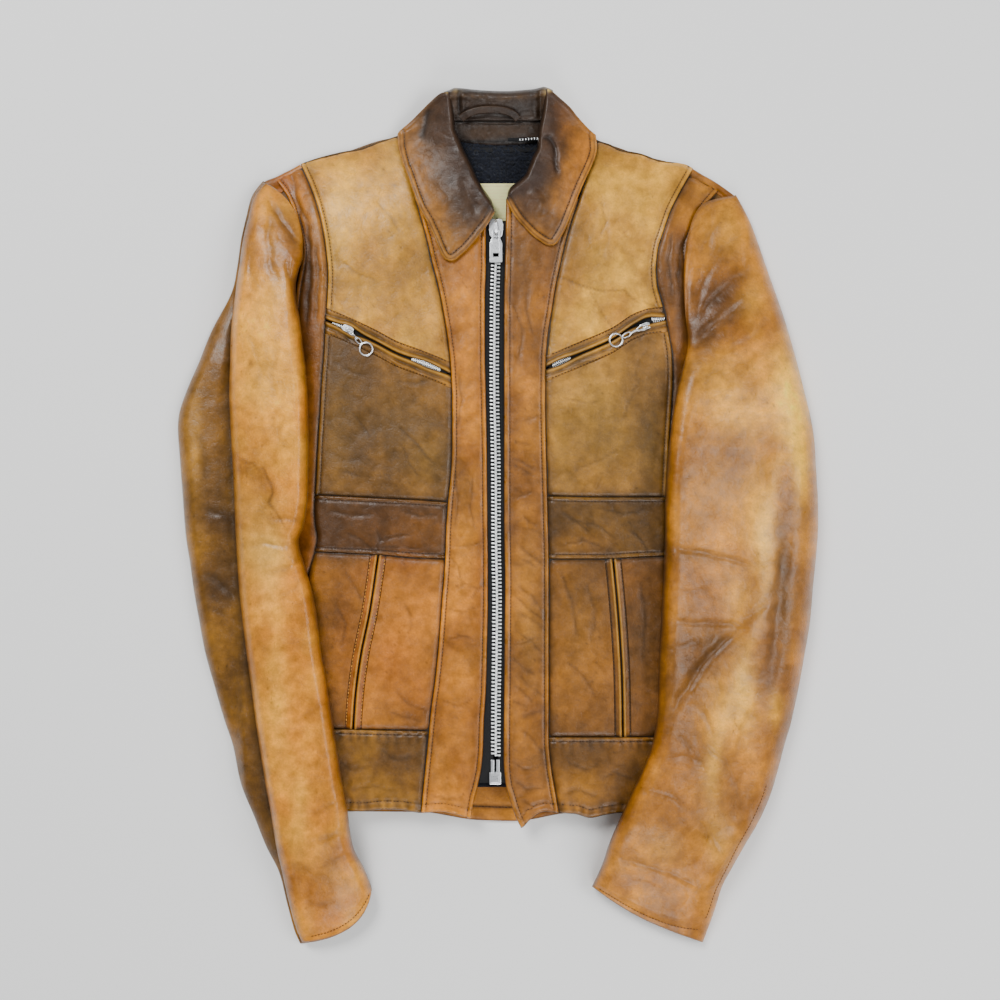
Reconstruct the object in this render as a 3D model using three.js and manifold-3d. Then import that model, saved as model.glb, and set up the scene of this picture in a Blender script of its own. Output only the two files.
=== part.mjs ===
// Leather riding jacket, zipped up and laid flat on its back with the sleeves folded down beside the body.
// Millimetres, +Z up, +Y towards the collar, +X towards the wearer's left sleeve. The origin is on the floor under
// the middle of the outline. "_r" and "_l" are the wearer's right (-X) and left (+X).
//
// Outlines are drafted on a pattern grid of GRID mm with v running down from the collar to the hem. Layers that lie
// higher are drafted slightly smaller, by the share h / TAPER, so that stacked layers line up on one another.
import * as THREE from "three";
import Module from "manifold-3d";
import { mergeVertices } from "three/addons/utils/BufferGeometryUtils.js";

const GRID = 0.9; // mm per pattern unit
const TAPER = 1150; // mm
const CX = -2.0, CY = -13.5; // middle of the outline, mm, moved to the origin
const LEATHER = 2.2; // shell thickness with its backing
const PILE = 2.8; // pile lining thickness
const FRONT = 24; // height of the front of the body above the floor
const SIDE = 4.9; // height where the front meets the back at the side seams and shoulders
const ZIP_U = 496; // centre line of the front zip, pattern units
const BACK_TOP = 2.2; // top of the back shell
const ELBOW_DEG = 25;

const wasm = await Module();
wasm.setup();

// ---------- curves ----------
// Monotone cubic through [x, y] pairs.
function curve(pts) {
  const x = pts.map((p) => p[0]), y = pts.map((p) => p[1]), n = x.length;
  const d = [], m = new Array(n).fill(0);
  for (let i = 0; i < n - 1; i++) d.push((y[i + 1] - y[i]) / (x[i + 1] - x[i]));
  m[0] = d[0]; m[n - 1] = d[n - 2];
  for (let i = 1; i < n - 1; i++) {
    if (d[i - 1] * d[i] <= 0) m[i] = 0;
    else {
      const h0 = x[i] - x[i - 1], h1 = x[i + 1] - x[i];
      const w1 = 2 * h1 + h0, w2 = h1 + 2 * h0;
      m[i] = (w1 + w2) / (w1 / d[i - 1] + w2 / d[i]);
    }
  }
  return (t) => {
    if (t <= x[0]) return y[0] + (t - x[0]) * m[0];
    if (t >= x[n - 1]) return y[n - 1] + (t - x[n - 1]) * m[n - 1];
    let i = 0;
    while (t > x[i + 1]) i++;
    const h = x[i + 1] - x[i], s = (t - x[i]) / h;
    const a = 2 * s ** 3 - 3 * s ** 2 + 1, b = s ** 3 - 2 * s ** 2 + s;
    const c = -2 * s ** 3 + 3 * s ** 2, e = s ** 3 - s ** 2;
    return a * y[i] + b * h * m[i] + c * y[i + 1] + e * h * m[i + 1];
  };
}
const byV = (pts) => curve(pts.map(([u, v]) => [v, u])); // u as a function of v
const byU = (pts) => curve([...pts].sort((a, b) => a[0] - b[0])); // v as a function of u
const lerp = (a, b, t) => a + (b - a) * t;
const clamp = (x, a, b) => Math.min(b, Math.max(a, x));
const smooth = (t) => { t = clamp(t, 0, 1); return t * t * (3 - 2 * t); };

// seams that run down the body
const seamStripR = byV([[402,148],[408,170],[415,195],[421,218],[427,240],[432,262],[438,285],[443,310],[447,335],[450,360],[451,375],[452,400],[452,440],[451,470],[448,500],[446,530],[445,560],[442,600],[439,640],[435,680],[431,710],[428,740],[425,770],[422,800],[421,813]]);
const seamStripL = byV([[594,148],[588,170],[580,195],[571,222],[566,240],[561,262],[556,285],[552,310],[548,335],[546,360],[545.5,400],[546,440],[547,480],[548,520],[549,560],[549,600],[549,700],[549,740],[551,765],[555,790],[559,813]]);
const zipEdgeR = byV([[486,200],[486,262],[485,300],[485,350],[486,400],[487,460],[487.5,520],[488,560],[488,600],[487,650],[486,690],[484,720],[483,750],[481,770],[478,785],[474,800],[471,818]]);
const zipEdgeL = byV([[506,200],[505,262],[504,300],[504,400],[504,460],[504,520],[505,580],[504.5,640],[504,700],[503.5,760],[505,780],[510,800],[516,818],[520,826]]);
const princessR = byV([[302,167],[310,185],[317,205],[322,225],[326,250],[328,275],[327,300],[325,325],[324,350],[322,375],[320,410],[318,440],[316,480],[314,510],[315,525],[317,538],[315,550],[310,568],[304,590],[300,640],[298,700],[298,740],[298,812]]);
const princessL = byV([[689,176],[680,192],[671,210],[664,230],[658,250],[656,270],[657,285],[661,300],[665,315],[669,335],[672,355],[673,380],[672,400],[670,430],[668,470],[667,500],[667,560],[668,640],[668,740],[668,812]]);
const sideR = byV([[277,182],[286,195],[293,212],[299,232],[303,250],[304,290],[300,340],[288,385],[262,425],[256,450],[250,600],[252,812]]);
const sideL = byV([[719,190],[712,198],[705,207],[700,218],[692,235],[687,250],[683,265],[682,290],[684,320],[688,350],[700,385],[730,425],[738,450],[742,600],[740,812]]);
const lowerSplitR = byV([[378,557],[370,610],[360,660],[355,700],[353,731]]);
const lowerSplitL = byV([[613,559],[617,600],[620,640],[622,680],[623,737]]);

// seams that run across the body
const shoulder = byU([[262,181],[270,179],[283,173],[300,164],[320,157],[340,152],[360,148],[380,141],[396,136],[420,126],[449,120],[500,118],[548,120],[578,128],[598,140],[610,144],[620,149],[640,153],[660,160],[685,164],[700,173],[715,183],[735,195]]);
const chestZipR = byU([[320,318],[333,323],[447,373],[460,379]]);
const chestZipL = byU([[540,370.7],[549,367],[664,319],[675,314.4]]);
const waistTopR = byU([[290,494],[318,495],[340,496],[380,498],[420,500],[448,502]]);
const waistBotR = byU([[290,551],[318,552],[340,553],[380,555],[420,558],[446,559]]);
const waistTopL = byU([[547,496],[600,497],[640,497],[700,497]]);
const waistBotL = byU([[549,559],[600,559],[640,557],[700,555]]);
const hemTopR = byU([[260,728],[298,728],[340,729],[380,730],[429,731]]);
const hemTopL = byU([[550,737],[600,737],[660,737],[700,737]]);
const hemR = byU([[250,811],[298,811],[345,811],[400,810],[422,813],[440,812],[471,819]]);
const hemL = byU([[516,826],[530,820],[559,813],[575,814],[590,818],[605,815],[620,813],[668,812],[742,812]]);

// ---------- heights ----------
// Top of the front of the body above the floor.
function frontTop(u, v) {
  const across = 1 - smooth((Math.abs(u - ZIP_U) - 170) / 72);
  const d = v - shoulder(clamp(u, 262, 735));
  const down = 1 - Math.pow(1 - clamp(d / 90, 0, 1), 2.2);
  return SIDE + (FRONT - SIDE) * across * down;
}
// Underside of a sleeve: on the front of the body where they overlap, on the floor outside it and past the hem.
function sleeveUnder(u, v) {
  const a = Math.abs(u - ZIP_U);
  const over = (frontTop(u, v) + 0.9) * (1 - smooth((v - 824) / 80));
  return lerp(over, 0, smooth((a - 250) / 14));
}

function at(u, v, h) {
  const k = GRID * (1 - h / TAPER);
  return new THREE.Vector3((u - 500) * k - CX, (500 - v) * k - CY, h);
}

// ---------- solids ----------
const group = new THREE.Group();
const colours = {
  tan: [0xb9772f, 0.45], strip: [0xb06a26, 0.42], chest: [0xa9803f, 0.5], dark: [0x5c3a22, 0.45],
  lower: [0xa35f22, 0.4], sleeve: [0xbd8238, 0.45], collar: [0x7a4f2c, 0.38], stand: [0x33241c, 0.5],
  pile: [0x10131a, 0.95], label: [0xe4dfc8, 0.8], tape: [0x141416, 0.85], steel: [0xc9ccce, 0.28], bag: [0x2a2018, 0.9],
};
function add(name, geometry, colour) {
  const [hex, roughness] = colours[colour];
  const material = new THREE.MeshStandardMaterial({ color: hex, roughness, metalness: colour === "steel" ? 1 : 0 });
  const mesh = new THREE.Mesh(geometry, material);
  mesh.name = name;
  group.add(mesh);
  return mesh;
}

// Closed sheet of even thickness about the mid-surface P(a, b), a across and b along, each from 0 to 1.
function sheet(P, nu, nv, thick) {
  const e = 1e-3;
  const V = [], I = [];
  const normal = (a, b) => {
    const pa = P(Math.min(1, a + e), b).sub(P(Math.max(0, a - e), b));
    const pb = P(a, Math.min(1, b + e)).sub(P(a, Math.max(0, b - e)));
    return pa.cross(pb).normalize();
  };
  for (const side of [1, -1])
    for (let j = 0; j <= nv; j++)
      for (let i = 0; i <= nu; i++) {
        const a = i / nu, b = j / nv, n = normal(a, b);
        const p = P(a, b).addScaledVector(n, (-side * thick) / 2);
        V.push(p.x, p.y, p.z);
      }
  const off = (nu + 1) * (nv + 1), id = (i, j, s) => s * off + j * (nu + 1) + i;
  const quad = (a, b, c, d) => I.push(a, b, c, a, c, d);
  for (let j = 0; j < nv; j++)
    for (let i = 0; i < nu; i++) {
      quad(id(i, j, 0), id(i, j + 1, 0), id(i + 1, j + 1, 0), id(i + 1, j, 0));
      quad(id(i, j, 1), id(i + 1, j, 1), id(i + 1, j + 1, 1), id(i, j + 1, 1));
    }
  for (let i = 0; i < nu; i++) {
    quad(id(i, 0, 1), id(i, 0, 0), id(i + 1, 0, 0), id(i + 1, 0, 1));
    quad(id(i, nv, 0), id(i, nv, 1), id(i + 1, nv, 1), id(i + 1, nv, 0));
  }
  for (let j = 0; j < nv; j++) {
    quad(id(0, j, 0), id(0, j, 1), id(0, j + 1, 1), id(0, j + 1, 0));
    quad(id(nu, j, 1), id(nu, j, 0), id(nu, j + 1, 0), id(nu, j + 1, 1));
  }
  return fix(V, I);
}
function volumeOf(V, I) {
  let s = 0;
  for (let k = 0; k < I.length; k += 3) {
    const [a, b, c] = [0, 1, 2].map((q) => new THREE.Vector3(V[3 * I[k + q]], V[3 * I[k + q] + 1], V[3 * I[k + q] + 2]));
    s += a.dot(b.cross(c));
  }
  return s / 6;
}
function fix(V, I) {
  if (volumeOf(V, I) < 0) for (let k = 0; k < I.length; k += 3) [I[k + 1], I[k + 2]] = [I[k + 2], I[k + 1]];
  const g = new THREE.BufferGeometry();
  g.setAttribute("position", new THREE.Float32BufferAttribute(V, 3));
  g.setIndex(I);
  return g;
}
function solidOf(g0) {
  let g = g0.clone();
  for (const n of Object.keys(g.attributes)) if (n !== "position") g.deleteAttribute(n);
  g = mergeVertices(g, 1e-4);
  return new wasm.Manifold(new wasm.Mesh({ numProp: 3, vertProperties: new Float32Array(g.attributes.position.array), triVerts: new Uint32Array(g.index.array) }));
}
function geometryOf(s) {
  const m = s.getMesh(), V = [];
  for (let i = 0; i < m.numVert; i++) V.push(m.vertProperties[i * m.numProp], m.vertProperties[i * m.numProp + 1], m.vertProperties[i * m.numProp + 2]);
  return fix(V, Array.from(m.triVerts));
}
const join = (...gs) => geometryOf(gs.map(solidOf).reduce((a, b) => a.add(b)));
const cut = (g, ...gs) => geometryOf(gs.map(solidOf).reduce((a, b) => a.subtract(b), solidOf(g)));
// Outline in the XY plane, extruded from z0 to z1.
function slab(points, z0, z1, holes = []) {
  const s = new THREE.Shape(points.map(([x, y]) => new THREE.Vector2(x, y)));
  for (const h of holes) s.holes.push(new THREE.Path(h.map(([x, y]) => new THREE.Vector2(x, y))));
  return new THREE.ExtrudeGeometry(s, { depth: z1 - z0, bevelEnabled: false }).translate(0, 0, z0);
}
const box = (x0, x1, y0, y1, z0, z1) => new THREE.BoxGeometry(x1 - x0, y1 - y0, z1 - z0).translate((x0 + x1) / 2, (y0 + y1) / 2, (z0 + z1) / 2);
const arc = (cx, cy, r, a0, a1, n) => Array.from({ length: n + 1 }, (_, i) => { const a = lerp(a0, a1, i / n); return [cx + r * Math.cos(a), cy + r * Math.sin(a)]; });

// Patch between two down-seams and two cross-seams, drawn in by the seam gap.
const GAP = 0.5; // pattern units on each side of a seam
function patch(uL, uR, vT, vB, gap = GAP) {
  const L = (v) => uL(v) + gap, R = (v) => uR(v) - gap, T = (u) => vT(u) + gap, B = (u) => vB(u) - gap;
  const corner = (U, W) => { let u = U(400), v = W(u); for (let k = 0; k < 30; k++) { u = U(v); v = W(u); } return [u, v]; };
  const tl = corner(L, T), tr = corner(R, T), bl = corner(L, B), br = corner(R, B);
  return (a, b) => {
    const vl = lerp(tl[1], bl[1], b), vr = lerp(tr[1], br[1], b), l = [L(vl), vl], r = [R(vr), vr];
    const ut = lerp(tl[0], tr[0], a), ub = lerp(bl[0], br[0], a), t = [ut, T(ut)], d = [ub, B(ub)];
    return [0, 1].map((k) => lerp(l[k], r[k], a) + lerp(t[k], d[k], b) - lerp(lerp(tl[k], tr[k], a), lerp(bl[k], br[k], a), b));
  };
}
// A body panel lying on the front of the body, its top drop mm below the front's top.
function frontPanel(name, uv, nu, nv, colour, drop = 0, thick = LEATHER) {
  add(name, sheet((a, b) => { const [u, v] = uv(a, b); return at(u, v, frontTop(u, v) - drop - thick / 2); }, nu, nv, thick), colour);
}
function backPanel(name, uv, nu, nv, colour, z0 = 0, thick = BACK_TOP) {
  add(name, sheet((a, b) => { const [u, v] = uv(a, b); return at(u, v, z0 + thick / 2); }, nu, nv, thick), colour);
}
const shift = (f, d) => (t) => f(t) + d;

// ---------- back of the body ----------
const backL = byV([[738,205],[735,240],[728,300],[724,350],[728,400],[738,440],[742,600],[740,822]]);
const backR = byV([[260,190],[262,240],[268,300],[272,350],[268,400],[257,440],[250,600],[252,822]]);
const backTop = byU([[250,190],[283,175],[300,166],[340,154],[396,138],[449,137],[500,140],[548,137],[598,142],[640,155],[685,167],[715,186],[745,204]]);
const row = (v) => () => v;
const backHem = byU([[245,811],[420,812],[478,820],[516,821],[570,813],[748,811]]);
backPanel("back_yoke", patch(backR, backL, backTop, row(238)), 12, 3, "tan");
backPanel("back_panel", patch(backR, backL, row(238), row(497)), 8, 8, "chest");
backPanel("back_waist_band", patch(backR, backL, row(497), row(558)), 4, 3, "dark");
backPanel("back_lower_panel", patch(backR, backL, row(558), row(733)), 4, 6, "lower");
backPanel("back_hem_band", patch(backR, backL, row(733), backHem), 12, 3, "tan");
const liningNeck = byU([[300, 183], [340, 167], [396, 151], [449, 148], [548, 148], [598, 156], [660, 178], [692, 192]]);
backPanel("back_lining", patch(row(300), row(692), liningNeck, row(788)), 10, 4, "pile", BACK_TOP + 0.4, PILE);
const liningTop = BACK_TOP + 0.4 + PILE;

// ---------- front of the body ----------
for (const [k, strip, zip, princess, side, cz, wt, wb, ht, hem, split] of [
  ["r", seamStripR, zipEdgeR, princessR, sideR, chestZipR, waistTopR, waistBotR, hemTopR, hemR, lowerSplitR],
  ["l", seamStripL, zipEdgeL, princessL, sideL, chestZipL, waistTopL, waistBotL, hemTopL, hemL, lowerSplitL],
]) {
  const two = (out, inn) => (k === "r" ? [out, inn] : [inn, out]); // left then right boundary
  const P = (out, inn, top, bot) => patch(...two(out, inn), top, bot);
  frontPanel("placket_" + k, P(strip, zip, row(216), hem), 3, 44, "strip");
  frontPanel("chest_upper_" + k, P(princess, strip, shift(shoulder, 1.5), shift(cz, -13)), 8, 12, "chest");
  frontPanel("chest_lower_" + k, P(princess, strip, shift(cz, 14), wt), 6, 10, "chest");
  frontPanel("waist_band_" + k, P(princess, strip, wt, wb), 6, 5, "dark");
  const wide = 9; // half width of the hand pocket's welts, pattern units
  const outer = shift(split, k === "r" ? -wide : wide), inner = shift(split, k === "r" ? wide : -wide);
  frontPanel("lower_panel_outer_" + k, P(princess, outer, wb, ht), 4, 10, "lower");
  frontPanel("lower_panel_inner_" + k, P(inner, strip, wb, ht), 4, 10, "lower");
  frontPanel("hem_band_" + k, P(princess, strip, ht, hem), 8, 5, "tan");
  frontPanel("side_panel_" + k, patch(...two(side, princess), byU(k === "r" ? [[262,186],[283,175],[302,167],[330,160]] : [[660,162],[689,176],[719,191]]), shift(row(810), 0)), 4, 40, "tan");
  // welts of the chest zip and of the hand pocket: a frame round a narrow slit
  const slitZ = (a, b, uv, thick) => { const [u, v] = uv(a, b); return at(u, v, frontTop(u, v) - thick / 2); };
  const zuv = P(princess, strip, shift(cz, -13), shift(cz, 14));
  const zipFrame = sheet((a, b) => slitZ(a, b, zuv, LEATHER), 10, 2, LEATHER);
  const e0 = k === "r" ? [333, 323] : [664, 319], e1 = k === "r" ? [447, 373] : [549, 367];
  const p0 = at(...e0, FRONT - 5), p1 = at(...e1, FRONT - 5);
  const dir = new THREE.Vector3().subVectors(p1, p0), len = dir.length(); dir.normalize();
  const turn = Math.atan2(dir.y, dir.x);
  // place a solid drawn along +X from the zip's outer end
  const along = (g) => g.rotateZ(turn).translate(p0.x, p0.y, 0);
  add("chest_zip_welt_" + k, cut(zipFrame, along(box(0, len - 1, -1.8, 1.8, 0, 60))), "tan");
  const wuv = P(outer, inner, wb, ht);
  const weltFrame = sheet((a, b) => slitZ(a, b, wuv, LEATHER), 2, 10, LEATHER);
  const s = (v, d) => { const p = at(split(v) + d, v, FRONT); return [p.x, p.y]; };
  const vs = k === "r" ? [564, 600, 640, 680, 722] : [566, 600, 640, 680, 729];
  add("hand_pocket_welt_" + k, cut(weltFrame, slab([...vs.map((v) => s(v, -0.8)), ...vs.reverse().map((v) => s(v, 0.8))], 0, 60)), "lower");
  // pocket bags, under the shell
  frontPanel("chest_pocket_bag_" + k, patch(...two(shift(princess, k === "r" ? 14 : -14), shift(strip, k === "r" ? -12 : 12)), shift(cz, 16), row(480)), 3, 4, "bag", 2.9, 1.0);
  frontPanel("hand_pocket_bag_" + k, patch(...two(shift(split, k === "r" ? -4 : 4), shift(strip, k === "r" ? -10 : 10)), row(572), row(722)), 3, 4, "bag", 2.9, 1.0);
  // pile lining of the front
  const li = k === "r" ? [332, 474] : [520, 660];
  frontPanel("front_lining_" + k, patch(row(li[0]), row(li[1]), row(240), row(786)), 2, 4, "pile", 8.1, PILE);

  // chest zip: tape with two rows of teeth either side of the slit, slider under the welts, chain and ring on top
  const zt = FRONT - 5.0, half = 0.5;
  const tape = cut(box(-4, len + 2, -7, 7, zt - 0.35, zt + 0.35), box(-1, len - 2, -half, half, 0, 60));
  const rails = [1, -1].map((q) => box(-2, len, q > 0 ? half : -1.9, q > 0 ? 1.9 : -half, zt - 1.0, zt + 1.0));
  add("chest_zip_chain_" + k, along(join(tape, ...rails)), "tape");
  const sx = k === "r" ? 15 : 19; // slider's place at rest, from the outer end
  const plate = (z0, z1) => slab([[sx - 4.5, -1.4], [sx - 3, -2.4], [sx + 3, -2.6], [sx + 4.5, -2.0], [sx + 4.5, 2.0], [sx + 3, 2.6], [sx - 3, 2.4], [sx - 4.5, 1.4]], z0, z1);
  const web = box(sx - 4.2, sx + 1, -0.15, 0.15, zt - 1.6, zt + 1.6);
  const lug = box(sx - 1.6, sx + 1.6, -0.6, 0.6, zt + 1.8, FRONT + 0.9);
  add("chest_slider_" + k, along(join(plate(zt - 2.1, zt - 1.3), plate(zt + 1.3, zt + 2.1), web, lug)), "steel");
  // short links drawn as one chain, then the ring; both lie on the lower welt
  const S = p0.clone().addScaledVector(dir, sx), R = k === "r" ? at(366, 349, FRONT + 2) : at(616, 340, FRONT + 2);
  const cd = new THREE.Vector3(R.x - S.x, R.y - S.y, 0), ct = Math.atan2(cd.y, cd.x), cl = cd.length() - 2.6 - 7.6;
  const q0 = S.clone().addScaledVector(cd.normalize(), 2.6 + 1.2);
  const zc = FRONT + 1.9;
  const chainAt = (g) => g.rotateZ(ct).translate(q0.x, q0.y, 0);
  const link = (x0, x1, flat) => {
    const w = flat ? 1.5 : 0.5;
    const outer2 = [...arc(x0 + w, 0, w, Math.PI / 2, Math.PI * 1.5, 5), ...arc(x1 - w, 0, w, -Math.PI / 2, Math.PI / 2, 5)];
    return slab(outer2, zc - (flat ? 0.45 : 1.3), zc + (flat ? 0.45 : 1.3));
  };
  const third = cl / 3;
  add("chest_pull_chain_" + k, chainAt(join(link(-1.2, third + 0.6, true), link(third - 0.6, 2 * third + 0.6, false), link(2 * third - 0.6, cl + 0.4, true))), "steel");
  const rr = 5.6, tube = 0.8, rx = cl + 0.9 + rr + tube;
  const ring = new THREE.TorusGeometry(rr, tube, 6, 20).translate(rx, 0, zc - 0.2);
  add("chest_ring_" + k, chainAt(ring), "steel");
}

// ---------- front zip ----------
const zc0 = FRONT - 3.4; // mid-plane of the tape and teeth
const cz = at(ZIP_U, 500, zc0); // centre line x
const yTop = at(ZIP_U, 222, zc0).y, yBot = at(ZIP_U, 784, zc0).y;
for (const [k, q] of [["r", -1], ["l", 1]]) {
  const x = (d) => cz.x + q * d;
  const t = box(Math.min(x(1.6), x(15)), Math.max(x(1.6), x(15)), yBot, yTop + 4, zc0 - 0.4, zc0 + 0.4);
  const r = box(Math.min(x(0.5), x(4.4)), Math.max(x(0.5), x(4.4)), yBot + 14.5, yTop - 1, zc0 - 1.2, zc0 + 1.2);
  add("main_zip_half_" + k, join(t, r), "tape");
}
{
  const x = cz.x, y0 = yBot + 0.4;
  add("zip_retainer_box", retainer(x, y0), "steel");
}
function retainer(x, y0) {
  // top and bottom plates joined by a bar between the two tapes
  return join(box(x - 5.2, x + 5.2, y0, y0 + 12.5, zc0 + 0.75, zc0 + 2), box(x - 5.2, x + 5.2, y0, y0 + 12.5, zc0 - 2, zc0 - 0.75), box(x - 1.1, x + 1.1, y0, y0 + 12.5, zc0 - 1, zc0 + 1));
}
const ySl = at(ZIP_U, 229, zc0).y; // slider's middle at rest
{
  const x = cz.x, y = ySl;
  const out = [[x - 3.4, y - 8], [x + 3.4, y - 8], [x + 5.6, y - 5], [x + 6.2, y + 4], [x + 4.6, y + 8], [x - 4.6, y + 8], [x - 6.2, y + 4], [x - 5.6, y - 5]];
  const top = slab(out, zc0 + 1.6, zc0 + 2.9), bottom = slab(out, zc0 - 2.9, zc0 - 1.6);
  const web = box(x - 0.18, x + 0.18, y - 1, y + 7.6, zc0 - 1.8, zc0 + 1.8);
  const lugTop = zc0 + 6.3, lugBase = zc0 + 2.7;
  const lug = join(box(x - 1.1, x + 1.1, y + 3.5, y + 6.5, lugBase, lugTop), box(x - 1.1, x + 1.1, y - 6.5, y + 6.5, lugTop - 1.2, lugTop), box(x - 1.1, x + 1.1, y - 6.5, y - 5.0, lugBase, lugTop));
  add("main_slider", join(top, bottom, web, lug), "steel");
}
const pullAxisZ = zc0 + 4.0, pullAxisY = ySl - 2.6;
{
  // pull tab: crossbar under the slider's bridge, window round the bridge's foot, plate down the zip
  const x = cz.x, z = pullAxisZ, ay = pullAxisY;
  const plate = slab([[x - 5, ay + 0.8], [x - 5.4, ay - 3], [x - 5.4, ay - 26], [x - 4.6, ay - 27.5], [x + 4.6, ay - 27.5], [x + 5.4, ay - 26], [x + 5.4, ay - 3], [x + 5, ay + 0.8]], z - 0.55, z + 0.55,
    [[[x - 2.2, ay - 0.8], [x + 2.2, ay - 0.8], [x + 2.2, ay - 6.4], [x - 2.2, ay - 6.4]], [[x - 2.6, ay - 19], [x + 2.6, ay - 19], [x + 2.6, ay - 22.4], [x - 2.6, ay - 22.4]]]);
  add("main_pull", plate, "steel");
}

// ---------- collar ----------
const leafR = {
  roll: [[451,93],[450,110],[451,125],[455,140],[461,156],[469,173],[477,187],[485,199],[492,209]],
  edge: [[402,133],[400,148],[405,166],[411,186],[418,206],[426,225],[433,241],[440,253],[447,258.5]],
};
const leafL = {
  roll: [[545.5,93],[545,108],[543,125],[541,140],[538,152],[531,166],[525,178],[518,188],[508,199]],
  edge: [[592,136],[595,150],[590,166],[583,186],[576,205],[569,222],[563,234],[558,241],[552,243.5]],
};
const spline = (pts) => { const c = new THREE.CatmullRomCurve3(pts.map(([u, v]) => new THREE.Vector3(u, v, 0)), false, "centripetal"); return (t) => { const p = c.getPoint(clamp(t, 0, 1)); return [p.x, p.y]; }; };
const rollTop = (b) => lerp(30, 27.4, smooth(b * 1.2)); // height of the roll line down the collar
for (const [k, leaf] of [["r", leafR], ["l", leafL]]) {
  const roll = spline(leaf.roll), edge = spline(leaf.edge);
  const P = (a, b) => {
    const p = roll(b), q = edge(b), u = lerp(p[0], q[0], a), v = lerp(p[1], q[1], a);
    const rest = frontTop(u, v) + 0.9 + 1.3, lift = rollTop(b) + 1.3;
    return at(u, v, Math.max(rest, lerp(lift, frontTop(q[0], q[1]) + 2.2, Math.pow(a, 1.3)), a < 0.05 ? lift : 0));
  };
  add("collar_leaf_" + k, sheet(P, 6, 10, 2.4), "collar");
}
const standP = (a, b) => at(lerp(lerp(454, 541, a), lerp(461, 537, a), b), lerp(95.5, 144, b), lerp(26.5, liningTop + 1.8, b));
add("collar_stand", sheet(standP, 4, 4, 2.0), "stand");
// outer fall of the collar round the back of the neck, from the roll line down to the floor
const fallPlan = spline([[405,130.5],[420,119],[435,106],[447,93],[462,91],[500,92],[535,91],[549,93],[563,106],[577,119],[590,132.5]]);
const fallTop = (a) => { const [u] = fallPlan(a); return lerp(7, 27.5, smooth((Math.min(u - 400, 596 - u)) / 50)); };
add("collar_back_fall", sheet((a, b) => { const [u, v] = fallPlan(a), z = lerp(1.4, fallTop(a), b); return at(u, v, z); }, 22, 2, 2.0), "collar");
// label on the back lining below the neck
add("neck_label", sheet((a, b) => at(lerp(474, 524, a), lerp(183, 222, b), liningTop + 0.4 + 0.35), 2, 2, 0.7), "label");
// hanger loop: a strap sewn at both ends to the collar stand, bowed up between them
{
  const loop = spline([[462,117],[470,112.5],[480,109.5],[490,108.7],[500,109.7],[509,112.5],[516,117]]);
  const tilt = (v) => { const b = (v - 95.5) / (144 - 95.5); return lerp(26.5, liningTop + 1.8, b); };
  add("hanger_loop", sheet((a, b) => { const [u, v0] = loop(a), v = v0 + lerp(-3.4, 3.4, b); return at(u, v, tilt(v) + 2.5); }, 10, 1, 1.6), "stand");
}
// zip that holds the pile lining in, along the foot of the stand
add("liner_zip", sheet((a, b) => at(lerp(466, 540, a), lerp(147.6, 152, b), liningTop + 1.3), 6, 1, 1.2), "tape");

// ---------- sleeves ----------
// Each station is [inner edge, middle, outer edge] of the flattened tube, with the crown's height over its underside.
const sleeveR = [
  [[303,250],[290,207],[262,183],13],[[302,285],[278,243],[247,215],19],[[301,320],[272,290],[238,270],23],[[304,350],[264,330],[222,315],25],
  [[306,385],[251,380],[195,375],26],[[308,420],[243,420],[178,420],27],[[309,460],[244,461],[180,462],27],[[308,500],[245,500],[182,500],26],
  [[302,530],[244,533],[186,535],25],[[299,541],[243,545],[188,548],25],[[304,565],[247,569],[191,572],25],[[313,605],[255,608],[197,610],25],[[320,645],[262,647],[205,648],24],
  [[328,695],[273,696],[219,697],24],[[334,735],[283,736],[232,737],23],[[341,780],[290,782],[240,783],23],[[349,815],[303,819],[257,822],22],
  [[350,838],[312,846],[274,852],21],[[356,856],[320,872],[282,880],20],[[371,884],[344,930],[298,941],17],
];
const sleeveL = [
  [[687,350],[686,252],[736,197],13],[[688,362],[708,262],[757,235],18],[[684,372],[722,290],[773,285],22],[[678,388],[735,335],[790,340],26],
  [[672,415],[741,395],[805,395],28],[[668,450],[742,445],[814,445],28],[[666,500],[742,500],[818,500],28],[[665,545],[741,547],[817,550],27],
  [[663,590],[739,590],[814,590],27],[[660,640],[733,640],[807,640],26],[[659,690],[728,690],[798,690],26],[[657,735],[723,735],[789,735],25],
  [[648,762],[713,772],[777,780],24],[[630,800],[696,810],[762,818],23],[[613,840],[680,848],[745,850],22],[[602,866],[666,882],[727,880],20],[[592,885],[651,922],[706,938],17],
];
const track = (stations, i) => { const c = new THREE.CatmullRomCurve3(stations.map((s) => new THREE.Vector3(s[i][0], s[i][1], s[3] / 1)), false, "centripetal"); const n = stations.length - 1; return (k) => { // k is the station number
  const t = clamp(k / n, 0, 1); return c.getPoint(t); }; };
const elbows = {};
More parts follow.
